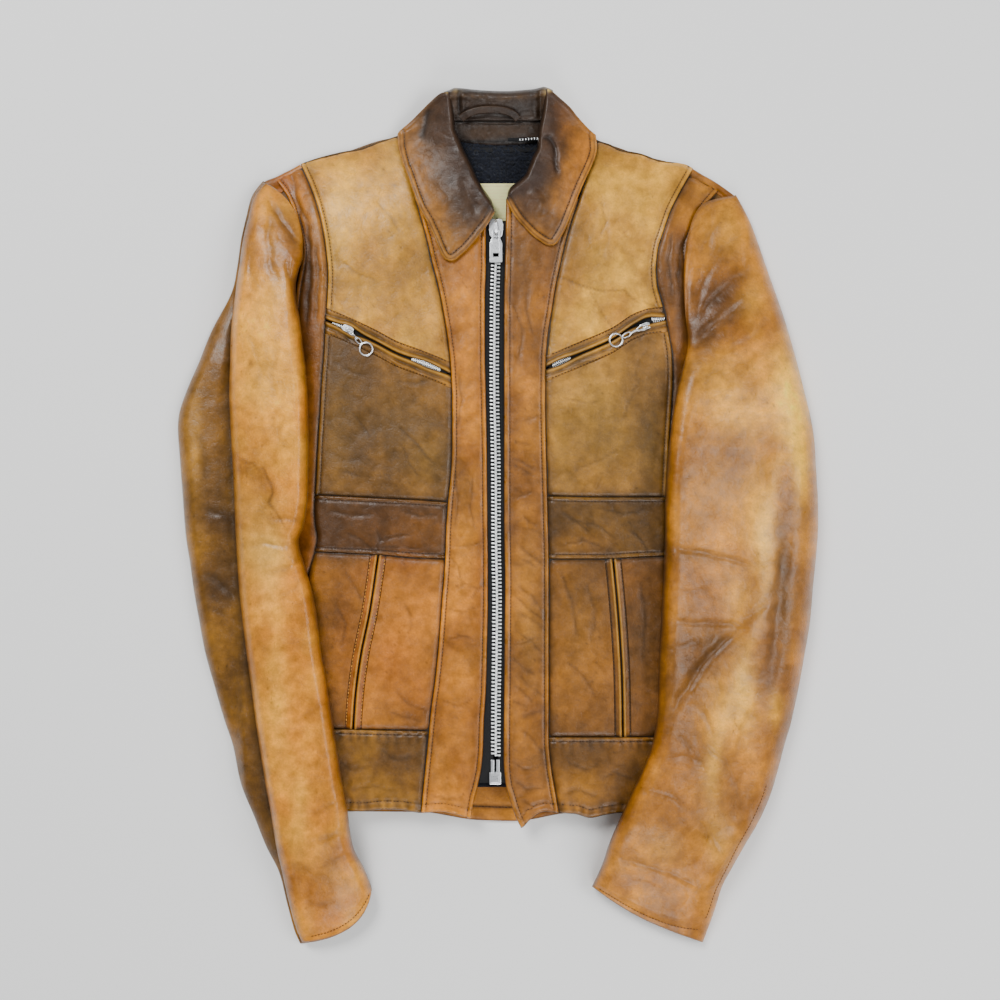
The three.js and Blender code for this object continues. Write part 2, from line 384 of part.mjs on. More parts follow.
for (const [k, S, kElbow] of [["r", sleeveR, 9], ["l", sleeveL, 8]]) {
  const tr = [0, 1, 2].map((i) => track(S, i)), n = S.length - 1;
  const line = (a, s) => { // point across the flattened tube at station s, a from the inner to the outer edge
    const [p, m, q] = tr.map((f) => f(s)), w0 = 2 * (a - 0.5) * (a - 1), w1 = 4 * a * (1 - a), w2 = 2 * a * (a - 0.5);
    return [w0 * p.x + w1 * m.x + w2 * q.x, w0 * p.y + w1 * m.y + w2 * q.y, p.z];
  };
  const under = (a, s) => { const [u, v] = line(a, s); return sleeveUnder(u, v); };
  const arch = (a, s) => { const [u, v, hc] = line(a, s); const f = Math.pow(1 - Math.pow(Math.abs(2 * a - 1), 2.6), 0.6);
    const base = Math.max(lerp(under(0, s), under(1, s), a), under(a, s)); return at(u, v, base + 3.8 + (hc - 3.8) * f); };
  const low = (a, s) => { const [u, v] = line(a, s); return at(u, v, sleeveUnder(u, v) + 1.0); };
  const pivot = line(0.7, kElbow);
  elbows[k] = at(pivot[0], pivot[1], 12);
  // the upper arm ends square; the forearm's end is cut back outside the pivot so that it can swing out
  const slope = Math.tan((ELBOW_DEG * Math.PI) / 180);
  const [pi, , qo] = tr.map((f) => f(kElbow));
  const wide = Math.hypot(pi.x - qo.x, pi.y - qo.y), perStation = Math.hypot(...[0, 1].map((j) => line(0.5, kElbow + 1)[j] - line(0.5, kElbow)[j]));
  const startOf = (a) => kElbow + (0.6 + Math.max(0, a - 0.7) * wide * slope * 1.15 + 1.6) / perStation;
  const upperEnd = kElbow - 0.6 / perStation;
  const span = (s0, s1, F) => (a, b) => F(a, lerp(typeof s0 === "function" ? s0(a) : s0, s1, b));
  add("upper_sleeve_" + k, sheet(span(0.06, upperEnd, arch), 10, 10, 2.0), "sleeve");
  add("under_sleeve_" + k, sheet(span(0.5, upperEnd, (a, s) => low(lerp(0.04, 0.96, a), s)), 8, 9, 2.0), "sleeve");
  add("forearm_sleeve_" + k, sheet(span(startOf, n, arch), 10, 11, 2.0), "sleeve");
  add("under_forearm_" + k, sheet(span(startOf, n - 0.1, (a, s) => low(lerp(0.04, 0.96, a), s)), 8, 10, 2.0), "sleeve");
}
export default group;
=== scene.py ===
import bpy, math
import numpy as np
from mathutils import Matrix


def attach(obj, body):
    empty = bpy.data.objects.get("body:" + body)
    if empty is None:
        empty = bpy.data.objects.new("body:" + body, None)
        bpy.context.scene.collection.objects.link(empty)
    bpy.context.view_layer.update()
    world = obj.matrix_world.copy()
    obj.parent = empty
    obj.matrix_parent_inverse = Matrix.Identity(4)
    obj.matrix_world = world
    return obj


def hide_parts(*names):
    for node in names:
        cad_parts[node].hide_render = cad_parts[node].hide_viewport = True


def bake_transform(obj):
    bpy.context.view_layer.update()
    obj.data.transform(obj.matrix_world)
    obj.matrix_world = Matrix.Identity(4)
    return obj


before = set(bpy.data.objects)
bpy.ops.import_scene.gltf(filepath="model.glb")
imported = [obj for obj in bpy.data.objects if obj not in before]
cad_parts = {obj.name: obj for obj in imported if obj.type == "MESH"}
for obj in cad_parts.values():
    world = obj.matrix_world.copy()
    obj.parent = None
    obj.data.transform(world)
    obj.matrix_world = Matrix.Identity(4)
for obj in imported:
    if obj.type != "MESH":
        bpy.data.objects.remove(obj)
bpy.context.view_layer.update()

GRID, TAPER, CX, CY = 0.9, 1150.0, -2.0, -13.5
FRONT, SIDE, ZIP_U = 24.0, 4.9, 496.0

# ------------------------------------------------------------------ maths
def at(u, v, h):
    u, v, h = np.broadcast_arrays(np.asarray(u, float), np.asarray(v, float), np.asarray(h, float))
    k = GRID * (1 - h / TAPER)
    return np.stack([(u - 500) * k - CX, (500 - v) * k - CY, h], -1) / 1000.0

def pchip(xs, ys):
    x, y = np.array(xs, float), np.array(ys, float)
    d = np.diff(y) / np.diff(x)
    m = np.zeros(len(x)); m[0] = d[0]; m[-1] = d[-1]
    for i in range(1, len(x) - 1):
        if d[i - 1] * d[i] > 0:
            h0, h1 = x[i] - x[i - 1], x[i + 1] - x[i]
            w1, w2 = 2 * h1 + h0, h1 + 2 * h0
            m[i] = (w1 + w2) / (w1 / d[i - 1] + w2 / d[i])
    def f(t):
        t = np.asarray(t, float)
        i = np.clip(np.searchsorted(x, t) - 1, 0, len(x) - 2)
        h = x[i + 1] - x[i]; s = (t - x[i]) / h
        s1 = np.clip(s, 0, 1)
        r = (2*s1**3 - 3*s1**2 + 1)*y[i] + (s1**3 - 2*s1**2 + s1)*h*m[i] + (-2*s1**3 + 3*s1**2)*y[i+1] + (s1**3 - s1**2)*h*m[i+1]
        r = np.where(s < 0, y[i] + (t - x[i]) * m[i], r)
        return np.where(s > 1, y[i+1] + (t - x[i+1]) * m[i+1], r)
    return f
def byV(pts): return pchip([p[1] for p in pts], [p[0] for p in pts])
def byU(pts):
    p = sorted(pts); return pchip([q[0] for q in p], [q[1] for q in p])
def sm(t):
    t = np.clip(t, 0, 1); return t * t * (3 - 2 * t)
def gauss(d, w): return np.exp(-(d / w) ** 2)

_rng = np.random.RandomState(11)
_perm = np.concatenate([_rng.permutation(256)] * 2)
_ang = _rng.rand(256) * 2 * math.pi
_gx, _gy = np.cos(_ang), np.sin(_ang)
def noise(x, y, seed=0):
    x = np.asarray(x, float) + seed * 17.31; y = np.asarray(y, float) + seed * 9.77
    xi, yi = np.floor(x).astype(int), np.floor(y).astype(int)
    xf, yf = x - xi, y - yi
    u, v = xf**3 * (xf * (xf * 6 - 15) + 10), yf**3 * (yf * (yf * 6 - 15) + 10)
    def g(ix, iy, dx, dy):
        h = _perm[(_perm[ix & 255] + iy) & 255]
        return _gx[h] * dx + _gy[h] * dy
    a = g(xi, yi, xf, yf); b = g(xi + 1, yi, xf - 1, yf)
    c = g(xi, yi + 1, xf, yf - 1); d = g(xi + 1, yi + 1, xf - 1, yf - 1)
    return (a + u * (b - a) + v * (c - a + u * (a - b - c + d))) * 1.5
def fbm(x, y, seed=0, n=4):
    r, a, f = 0, 1.0, 1.0
    for k in range(n):
        r = r + a * noise(x * f, y * f, seed + k); a *= 0.5; f *= 2.03
    return r
def veins(x, y, seed, w):
    return np.exp(-(noise(x, y, seed) / w) ** 2)

def dpoly(U, V, pts):
    P = np.array(pts, float)
    best = np.full(U.shape, 1e9); tt = np.zeros(U.shape)
    n = len(P) - 1
    for i in range(n):
        a, b = P[i], P[i + 1]; d = b - a; L = (d @ d) + 1e-9
        s = np.clip(((U - a[0]) * d[0] + (V - a[1]) * d[1]) / L, 0, 1)
        q = np.hypot(U - a[0] - s * d[0], V - a[1] - s * d[1])
        k = q < best
        best = np.where(k, q, best); tt = np.where(k, (i + s) / n, tt)
    return best, tt
def crease(U, V, pts, w, taper=0.18):
    """0..1 mask of a fold line that fades out at its ends"""
    P = np.array(pts, float)
    lo, hi = P.min(0) - 4 * w, P.max(0) + 4 * w
    m = np.zeros(U.shape)
    k = (U > lo[0]) & (U < hi[0]) & (V > lo[1]) & (V < hi[1])
    if not k.any(): return m
    jit = 1.6 * noise(U[k] / 14, V[k] / 14, 3)
    d, t = dpoly(U[k] + jit, V[k] + 1.2 * noise(U[k] / 11, V[k] / 11, 8), pts)
    m[k] = gauss(d, w) * sm(np.minimum(t, 1 - t) / taper + 0.12)
    return m

def srgb(c):
    c = np.asarray(c, float) / 255.0
    return np.where(c <= 0.04045, c / 12.92, ((c + 0.055) / 1.055) ** 2.4)

# ------------------------------------------------------------------ outlines (same draft as the CAD)
seamStrip = {"r": byV([[402,148],[408,170],[415,195],[421,218],[427,240],[432,262],[438,285],[443,310],[447,335],[450,360],[451,375],[452,400],[452,440],[451,470],[448,500],[446,530],[445,560],[442,600],[439,640],[435,680],[431,710],[428,740],[425,770],[422,800],[421,813]]),
 "l": byV([[594,148],[588,170],[580,195],[571,222],[566,240],[561,262],[556,285],[552,310],[548,335],[546,360],[545.5,400],[546,440],[547,480],[548,520],[549,560],[549,600],[549,700],[549,740],[551,765],[555,790],[559,813]])}
zipEdge = {"r": byV([[486,200],[486,262],[485,300],[485,350],[486,400],[487,460],[487.5,520],[488,560],[488,600],[487,650],[486,690],[484,720],[483,750],[481,770],[478,785],[474,800],[471,818]]),
 "l": byV([[506,200],[505,262],[504,300],[504,400],[504,460],[504,520],[505,580],[504.5,640],[504,700],[503.5,760],[505,780],[510,800],[516,818],[520,826]])}
princess = {"r": byV([[302,167],[310,185],[317,205],[322,225],[326,250],[328,275],[327,300],[325,325],[324,350],[322,375],[320,410],[318,440],[316,480],[314,510],[315,525],[317,538],[315,550],[310,568],[304,590],[300,640],[298,700],[298,740],[298,812]]),
 "l": byV([[689,176],[680,192],[671,210],[664,230],[658,250],[656,270],[657,285],[661,300],[665,315],[669,335],[672,355],[673,380],[672,400],[670,430],[668,470],[667,500],[667,560],[668,640],[668,740],[668,812]])}
sideLine = {"r": byV([[277,182],[286,195],[293,212],[299,232],[302,250],[296,290],[291,340],[282,385],[262,425],[256,450],[250,600],[252,812]]),
 "l": byV([[719,190],[712,198],[705,207],[700,218],[692,235],[688,250],[689,265],[690,290],[692,320],[697,350],[706,385],[730,425],[738,450],[742,600],[740,812]])}
split = {"r": byV([[378,557],[370,610],[360,660],[355,700],[353,731]]), "l": byV([[613,559],[617,600],[620,640],[622,680],[623,737]])}
shoulder = byU([[262,181],[270,179],[283,173],[300,164],[320,157],[340,152],[360,148],[380,141],[396,136],[420,126],[449,120],[500,118],[548,120],[578,128],[598,140],[610,144],[620,149],[640,153],[660,160],[685,164],[700,173],[715,183],[735,195]])
chestZip = {"r": byU([[320,318],[333,323],[352,331],[375,342],[398,354],[420,362],[447,373],[460,379]]), "l": byU([[540,370.7],[549,367],[580,354],[612,340],[635,325.5],[650,320.5],[664,319],[675,316]])}
waistTop = {"r": byU([[290,494],[318,495],[340,496],[380,498],[420,500],[448,502]]), "l": byU([[547,496],[600,497],[640,497],[700,497]])}
waistBot = {"r": byU([[290,551],[318,552],[340,553],[380,555],[420,558],[446,559]]), "l": byU([[549,559],[600,559],[640,557],[700,555]])}
hemTop = {"r": byU([[260,728],[298,728],[340,729],[380,730],[429,731]]), "l": byU([[550,737],[600,737],[660,737],[700,737]])}
hemBot = {"r": byU([[250,811],[298,811],[345,811],[362,811.5],[385,809.5],[400,810],[422,813],[440,812],[455,814.5],[471,819]]), "l": byU([[516,826],[521,828],[530,820],[544,812],[559,813],[575,814],[590,818],[605,815],[620,813],[668,812],[742,812]])}
row = lambda c: (lambda t: np.full(np.shape(t), float(c)))
shift = lambda f, d: (lambda t: f(t) + d)

def frontTop(u, v):
    across = 1 - sm((np.abs(u - ZIP_U) - 170) / 72)
    d = v - shoulder(np.clip(u, 262, 735))
    down = 1 - np.power(1 - np.clip(d / 90, 0, 1), 2.2)
    return SIDE + (FRONT - SIDE) * across * down
def sleeveUnder(u, v):
    a = np.abs(u - ZIP_U)
    over = (frontTop(u, v) + 0.9) * (1 - sm((v - 824) / 80))
    return over * (1 - sm((a - 250) / 14))

# ------------------------------------------------------------------ folds drawn on the front (u, v, width, depth mm)
V_ = []  # valleys
def fold(pts, w=2.2, d=0.8): V_.append((pts, w, d))
# wavy crease across the wearer's left chest
fold([(550,275),(565,279),(580,285),(592,288),(603,292),(615,290),(624,291),(634,299),(642,306)], 1.8, 0.7)
fold([(588,289),(595,300),(603,315),(612,330)], 1.6, 0.45)
fold([(640,300),(655,306),(665,312)], 1.8, 0.4)
# chest
for p in [[(398,425),(410,438),(424,452)],[(405,432),(420,450),(436,465)],[(400,440),(408,460),(418,478)],[(352,412),(362,425),(372,440)],[(430,380),(410,384),(395,380)],
          [(340,470),(365,478),(395,474)],[(562,398),(585,402),(606,400)],[(575,470),(600,460),(620,448)],[(640,380),(630,400),(625,420)],[(340,260),(360,275),(378,280)],
          [(600,200),(606,220),(598,238)],[(375,200),(392,218),(400,235)],[(330,360),(350,372),(368,376)],[(652,345),(640,360),(634,378)]]:
    fold(p, 2.0, 0.35)
# welts under the chest zips
for p in [[(380,352),(392,362),(400,374)],[(392,358),(410,366),(424,374)],[(345,334),(352,342),(356,350)],[(650,326),(644,334),(638,342)],[(600,350),(612,350),(624,344)],[(575,360),(590,362),(606,356)],[(556,372),(572,368),(585,362)]]:
    fold(p, 1.4, 0.45)
# waist band
for p in [[(345,532),(362,540),(376,552)],[(377,528),(380,542),(376,556)],[(376,542),(396,536),(414,534)],[(380,548),(402,546),(424,550)],[(330,510),(352,516),(376,514)],[(398,510),(420,516),(440,514)],
          [(575,520),(598,526),(618,540)],[(598,508),(622,514),(648,510)],[(560,545),(584,540),(604,548)],[(628,528),(640,540),(650,552)],[(560,512),(576,520),(592,534)]]:
    fold(p, 2.2, 0.65)
# wearer's right placket
for p in [[(448,544),(462,546),(484,542)],[(450,556),(458,566),(460,580)],[(452,590),(464,584),(480,588)],[(470,600),(478,590),(484,580)],[(447,610),(462,612),(480,606)],[(446,640),(462,636),(480,640)],[(442,700),(458,706),(476,698)],[(455,470),(458,500),(456,530)],[(474,470),(470,505),(474,530)],
          [(430,795),(446,800),(464,798)],[(456,430),(462,400),(458,370)]]:
    fold(p, 2.0, 0.5)
# wearer's left placket: slanted creases all the way down
_r = np.random.RandomState(5)
for i in range(22):
    v0 = 424 + i * 14.6 + _r.uniform(-5, 5); u0 = 509 + _r.uniform(0, 14); L = _r.uniform(16, 34)
    sl = _r.uniform(0.35, 0.95) * (1 if i % 5 else -0.4)
    fold([(u0, v0), (u0 + L * 0.5, v0 + L * 0.5 * sl + _r.uniform(-2, 2)), (min(u0 + L, 545), v0 + L * sl)], _r.uniform(2.0, 3.4), _r.uniform(0.25, 0.6))
for p in [[(512,760),(524,770),(540,768)],[(514,780),(528,790),(546,786)],[(520,800),(534,806),(550,800)],[(512,300),(522,330),(520,360)],[(530,280),(526,310),(534,340)]]:
    fold(p, 2.2, 0.6)
# lower panels and hems
for p in [[(395,690),(408,704),(430,712)],[(388,712),(402,716),(424,722)],[(402,600),(412,616),(410,634)],[(335,600),(345,625),(340,650)],[(345,570),(356,590),(362,600)],[(560,570),(572,600),(578,640)],[(585,580),(596,610),(590,650)],
          [(566,660),(584,676),(596,700)],[(640,580),(646,620),(642,660)],[(336,760),(352,770),(372,766)],[(380,748),(396,760),(414,756)],[(350,790),(372,786),(396,792)],[(565,760),(584,770),(602,764)],[(600,780),(616,772),(634,780)],[(560,795),(580,790),(598,798)]]:
    fold(p, 3.0, 0.5)
# side panels
for p in [[(290,170),(296,190),(299,212),(303,236)],[(305,215),(310,250),(309,290),(306,330)],[(316,240),(319,280),(315,330)],[(684,236),(679,262),(678,292)],[(672,230),(668,262),(672,300)],[(290,182),(298,205),(310,224)]]:
    fold(p, 2.6, 1.0)

def relief(U, V):
    r = 0.9 * fbm(U / 85, V / 85, 2, 3) + 0.30 * fbm(U / 22, V / 30, 5, 3)
    mask = sm(0.5 + 1.3 * noise(U / 70, V / 70, 21))
    r = r - 0.30 * mask * veins(U / 20, V / 26, 31, 0.10) - 0.16 * veins(U / 9, V / 11, 35, 0.12) * sm(0.4 + noise(U / 40, V / 40, 22))
    for pts, w, d in V_:
        c = crease(U, V, pts, w)
        if c.any():
            r = r - d * c + 0.55 * d * (crease(U, V, pts, w * 2.4) - c) * 0.8
    return r
# painted shade: a mask that darkens the colour along the front folds
def painted_crease_shade(U, V):
    m = np.zeros(U.shape)
    for pts, w, d in V_:
        m = np.maximum(m, crease(U, V, pts, w * 0.5) * min(1.0, 0.3 + d * 0.45))
    return m

# ------------------------------------------------------------------ colour
PANEL = {  # base, second tone
 "chest_upper_r": ((202,152,86), (176,124,66)), "chest_upper_l": ((204,154,86), (170,120,64)),
 "chest_lower_r": ((142,100,60), (108,76,48)), "chest_lower_l": ((156,112,70), (118,84,52)),
 "placket_r": ((196,126,54), (160,98,44)), "placket_l": ((172,112,56), (136,86,44)),
 "waist_band_r": ((112,72,40), (84,54,32)), "waist_band_l": ((128,90,46), (96,66,38)),
 "lower_panel_outer_r": ((150,98,48), (126,82,42)), "lower_panel_inner_r": ((180,116,56), (148,94,46)),
 "lower_panel_outer_l": ((136,88,46), (112,74,42)), "lower_panel_inner_l": ((156,102,50), (128,84,44)),
 "hem_band_r": ((150,106,52), (112,76,40)), "hem_band_l": ((150,100,46), (112,76,38)),
 "side_panel_r": ((190,120,56), (140,86,42)), "side_panel_l": ((184,118,54), (128,80,42)),
 "chest_zip_welt_r": ((160,112,60), (120,84,48)), "chest_zip_welt_l": ((170,120,64), (122,86,50)),
 "hand_pocket_welt_r": ((170,100,48), (140,84,42)), "hand_pocket_welt_l": ((144,94,48), (118,78,42)),
 "sleeve_r": ((208,146,68), (178,112,48)), "sleeve_l": ((188,126,58), (150,96,46)),
 "under_r": ((150,106,50), (116,80,40)), "back": ((178,118,56), (140,92,46)),
 "collar": ((124,82,50), (92,60,42)), "stand": ((54,40,33), (36,28,25)), "facing": ((188,124,56), (150,96,46)),
}
OCHRE = (216,168,98)
# besides tone patches, the dark spots at (308,300), (312,400), (300,240), (672,275), (683,300) and (675,420) are
# painted shadow on the side panels under the sleeves and in their folds
TONE_AND_SHADE_SPOTS = [  # u, v, ru, rv, colour, strength
 (360,200,50,34,(214,166,98),.55), (640,190,44,30,(214,166,98),.5), (335,240,26,40,(206,160,94),.4), (400,250,22,50,(176,128,72),.5), (582,235,20,34,(132,92,54),.75), (570,260,16,30,(140,98,58),.6),
 (420,300,26,30,(190,140,78),.5), (380,300,40,30,(182,130,74),.45), (620,250,40,34,(204,156,90),.4),
 (395,420,42,42,(108,80,52),.6), (340,400,24,70,(96,70,44),.85),(350,290,40,26,(160,118,66),.6), (430,460,24,28,(128,98,60),.5), (335,440,16,50,(164,120,66),.5), (600,400,44,46,(174,134,84),.6), (610,440,38,36,(134,102,62),.5), (650,440,16,50,(96,74,52),.7), (640,390,20,40,(132,94,56),.5), (562,440,14,60,(160,120,70),.5),
 (470,300,18,50,(186,124,60),.5), (470,400,14,40,(200,132,52),.5),(465,490,14,34,(138,92,44),.75), (464,560,16,60,(184,126,62),.5), (456,700,18,60,(186,122,56),.5), (475,700,8,90,(150,96,48),.4),
 (522,260,18,46,(120,80,46),.75), (526,330,16,50,(146,96,50),.55), (530,430,14,60,(176,118,58),.5), (528,560,16,40,(150,104,58),.5), (530,640,16,50,(160,118,78),.45), (528,760,20,36,(172,112,52),.6),
 (420,528,26,16,(136,88,46),.6), (335,528,18,20,(96,62,36),.6), (375,520,24,14,(88,56,34),.5), (578,545,26,12,(168,112,48),.7), (640,525,20,22,(104,74,42),.6), (600,515,30,14,(116,84,46),.5),
 (345,640,16,60,(150,92,44),.6), (372,575,18,16,(150,90,46),.6), (408,620,26,70,(196,124,60),.6), (405,560,20,14,(160,94,46),.5), (390,660,22,30,(190,112,50),.5), (420,690,20,26,(176,104,46),.4),
 (580,610,34,70,(122,84,44),.75), (600,690,20,36,(140,92,48),.4), (645,640,14,70,(124,84,48),.5), (560,640,10,60,(170,112,54),.4),
 (380,745,40,10,(120,84,44),.6), (395,780,40,16,(160,112,56),.4), (600,765,60,26,(104,70,36),.8), (585,785,26,18,(176,120,52),.5), (640,760,20,20,(120,82,42),.5), (620,800,26,10,(136,92,44),.4),
 (283,185,10,14,(196,110,52),.6), (300,200,9,22,(208,134,66),.6), (308,300,9,80,(84,50,24),.85),(321,250,5,50,(190,122,60),.5), (312,400,8,60,(160,100,48),.5), (300,240,6,20,(112,66,40),.6), (705,190,10,12,(202,140,70),.6), (690,215,12,14,(200,136,68),.5), (672,275,12,50,(112,72,38),.75), (683,300,7,60,(96,62,40),.7), (675,420,8,80,(110,74,42),.6),
]
def spots(C, U, V, table):
    for (u, v, ru, rv, c, s) in table:
        k = (np.abs(U - u) < 2.3 * ru) & (np.abs(V - v) < 2.3 * rv)
        if not k.any(): continue
        wob = 1 + 0.35 * noise(U[k] / 18, V[k] / 18, 41)
        m = s * np.exp(-(((U[k] - u) / ru) ** 2 + ((V[k] - v) / rv) ** 2) * wob)
        C[k] = C[k] * (1 - m[..., None]) + np.array(c, float) * m[..., None]
    return C
def mix(C, c, m):
    m = np.clip(m, 0, 1)[..., None]
    return C * (1 - m) + np.array(c, float) * m
def tone(U, V, key, table=TONE_AND_SHADE_SPOTS):
    a, b = PANEL[key]
    n = sm(0.5 + 0.55 * fbm(U / 38, V / 44, 51, 4))
    C = np.array(a, float) * (1 - n[..., None]) + np.array(b, float) * n[..., None]
    C = spots(C, U, V, table)
    C = C * (1 + 0.10 * fbm(U / 60, V / 70, 57, 3))[..., None]
    C = C * (1 + 0.07 * fbm(U / 9, V / 9, 61, 3))[..., None]
    dots = sm((noise(U / 3.1, V / 3.1, 71) - 0.62) / 0.12)
    return C * (1 - 0.16 * dots * sm(0.4 + noise(U / 30, V / 30, 73)))[..., None]

# ------------------------------------------------------------------ materials
def material(name): 
    m = bpy.data.materials.new(name); m.use_nodes = True
    nt = m.node_tree; nt.nodes.clear()
    out = nt.nodes.new("ShaderNodeOutputMaterial"); b = nt.nodes.new("ShaderNodeBsdfPrincipled")
    nt.links.new(b.outputs[0], out.inputs[0])
    return m, nt, b
def node(nt, kind, **kw):
    n = nt.nodes.new(kind)
    for k, v in kw.items(): setattr(n, k, v)
    return n
def leather(name, grain=1.0, rough=(0.30, 0.52), coat=0.05, mott=0.16):
    m, nt, b = material(name); L = nt.links.new
    col = node(nt, "ShaderNodeAttribute", attribute_name="Col")
    tc = node(nt, "ShaderNodeTexCoord")
    def nz(scale, detail, r=0.55, dist=0.0):
        n = node(nt, "ShaderNodeTexNoise"); n.inputs["Scale"].default_value = scale; n.inputs["Detail"].default_value = detail
        n.inputs["Roughness"].default_value = r; n.inputs["Distortion"].default_value = dist
        L(tc.outputs["Object"], n.inputs["Vector"]); return n
    def rng(src, a, b_, c, d):
        n = node(nt, "ShaderNodeMapRange"); n.inputs[1].default_value = a; n.inputs[2].default_value = b_; n.inputs[3].default_value = c; n.inputs[4].default_value = d
        L(src, n.inputs[0]); return n.outputs[0]
    n1 = nz(95, 5, 0.62, 0.4); n2 = nz(520, 4, 0.6)
    v1 = node(nt, "ShaderNodeTexVoronoi", feature="DISTANCE_TO_EDGE"); v1.inputs["Scale"].default_value = 820; L(tc.outputs["Object"], v1.inputs["Vector"])
    v2 = node(nt, "ShaderNodeTexVoronoi", feature="DISTANCE_TO_EDGE"); v2.inputs["Scale"].default_value = 210
    wv = node(nt, "ShaderNodeMixRGB"); wv.inputs[0].default_value = 0.02; L(tc.outputs["Object"], wv.inputs[1]); L(nz(60, 3).outputs["Color"], wv.inputs[2]); L(wv.outputs[0], v2.inputs["Vector"])
    crack = rng(v2.outputs["Distance"], 0.0, 0.045, 1.0, 0.0); crm = rng(n1.outputs["Fac"], 0.48, 0.66, 0.0, 1.0)
    cm = node(nt, "ShaderNodeMath", operation="MULTIPLY"); L(crack, cm.inputs[0]); L(crm, cm.inputs[1])
    mul = node(nt, "ShaderNodeMixRGB", blend_type="MULTIPLY"); mul.inputs[0].default_value = 1.0
    L(col.outputs["Color"], mul.inputs[1]); f = rng(n1.outputs["Fac"], 0.3, 0.7, 1 - mott, 1 + mott); g = rng(n2.outputs["Fac"], 0.3, 0.7, 0.88, 1.12)
    fm = node(nt, "ShaderNodeMath", operation="MULTIPLY"); L(f, fm.inputs[0]); L(g, fm.inputs[1]); L(fm.outputs[0], mul.inputs[2])
    dk = node(nt, "ShaderNodeMixRGB", blend_type="MULTIPLY"); dk.inputs[2].default_value = (0.55, 0.45, 0.38, 1)
    cs = node(nt, "ShaderNodeMath", operation="MULTIPLY"); cs.inputs[1].default_value = 0.45; L(cm.outputs[0], cs.inputs[0]); L(cs.outputs[0], dk.inputs[0]); L(mul.outputs[0], dk.inputs[1])
    L(dk.outputs[0], b.inputs["Base Color"])
    wear = node(nt, "ShaderNodeAttribute", attribute_name="Wear")
    r1 = rng(n1.outputs["Fac"], 0.3, 0.7, rough[0], rough[1]); rs = node(nt, "ShaderNodeMath", operation="SUBTRACT"); rw = node(nt, "ShaderNodeMath", operation="MULTIPLY"); rw.inputs[1].default_value = 0.14
    L(wear.outputs["Fac"], rw.inputs[0]); L(r1, rs.inputs[0]); L(rw.outputs[0], rs.inputs[1]); L(rs.outputs[0], b.inputs["Roughness"])
    b.inputs["Coat Weight"].default_value = coat; b.inputs["Coat Roughness"].default_value = 0.26; b.inputs["Specular IOR Level"].default_value = 0.36
    b1 = node(nt, "ShaderNodeBump"); b1.inputs["Strength"].default_value = 0.34 * grain; b1.inputs["Distance"].default_value = 0.00022; L(v1.outputs["Distance"], b1.inputs["Height"])
    b2 = node(nt, "ShaderNodeBump"); b2.inputs["Strength"].default_value = 0.38; b2.inputs["Distance"].default_value = 0.0005; L(n2.outputs["Fac"], b2.inputs["Height"]); L(b1.outputs[0], b2.inputs["Normal"])
    b3 = node(nt, "ShaderNodeBump", invert=True); b3.inputs["Strength"].default_value = 0.5; b3.inputs["Distance"].default_value = 0.0004; L(cm.outputs[0], b3.inputs["Height"]); L(b2.outputs[0], b3.inputs["Normal"])
    b4 = node(nt, "ShaderNodeBump"); b4.inputs["Strength"].default_value = 0.4; b4.inputs["Distance"].default_value = 0.0016; L(n1.outputs["Fac"], b4.inputs["Height"]); L(b3.outputs[0], b4.inputs["Normal"])
    L(b4.outputs[0], b.inputs["Normal"])
    return m
def thread_mat():
    m, nt, b = material("waxed_thread"); L = nt.links.new
    col = node(nt, "ShaderNodeAttribute", attribute_name="Col"); L(col.outputs["Color"], b.inputs["Base Color"])
    tc = node(nt, "ShaderNodeTexCoord"); n = node(nt, "ShaderNodeTexNoise"); n.inputs["Scale"].default_value = 3000; L(tc.outputs["Object"], n.inputs["Vector"])
    bp = node(nt, "ShaderNodeBump"); bp.inputs["Distance"].default_value = 0.0001; L(n.outputs["Fac"], bp.inputs["Height"]); L(bp.outputs[0], b.inputs["Normal"])
    b.inputs["Roughness"].default_value = 0.7; return m
def fabric(name, c1, c2, scale, rough=0.9, dist=0.0003, sheen=0.0):
    m, nt, b = material(name); L = nt.links.new
    tc = node(nt, "ShaderNodeTexCoord")
    mp = node(nt, "ShaderNodeMapping"); mp.inputs["Rotation"].default_value = (0, 0, 0.7854); L(tc.outputs["Object"], mp.inputs["Vector"])
    w1 = node(nt, "ShaderNodeTexWave", bands_direction="X"); w1.inputs["Scale"].default_value = scale; L(mp.outputs[0], w1.inputs["Vector"])
    w2 = node(nt, "ShaderNodeTexWave", bands_direction="Y"); w2.inputs["Scale"].default_value = scale; L(mp.outputs[0], w2.inputs["Vector"])
    mx = node(nt, "ShaderNodeMath", operation="MAXIMUM"); L(w1.outputs["Fac"], mx.inputs[0]); L(w2.outputs["Fac"], mx.inputs[1])
    n = node(nt, "ShaderNodeTexNoise"); n.inputs["Scale"].default_value = 160; n.inputs["Detail"].default_value = 5; L(tc.outputs["Object"], n.inputs["Vector"])
    rp = node(nt, "ShaderNodeMixRGB"); rp.inputs[1].default_value = (*srgb(c1), 1); rp.inputs[2].default_value = (*srgb(c2), 1); L(n.outputs["Fac"], rp.inputs[0])
    ml = node(nt, "ShaderNodeMixRGB", blend_type="MULTIPLY"); ml.inputs[0].default_value = 0.5; L(rp.outputs[0], ml.inputs[1]); L(mx.outputs[0], ml.inputs[2])
    L(ml.outputs[0], b.inputs["Base Color"])
    bp = node(nt, "ShaderNodeBump"); bp.inputs["Distance"].default_value = dist; bp.inputs["Strength"].default_value = 0.7; L(mx.outputs[0], bp.inputs["Height"]); L(bp.outputs[0], b.inputs["Normal"])
    b.inputs["Roughness"].default_value = rough
    if sheen: b.inputs["Sheen Weight"].default_value = sheen
    return m
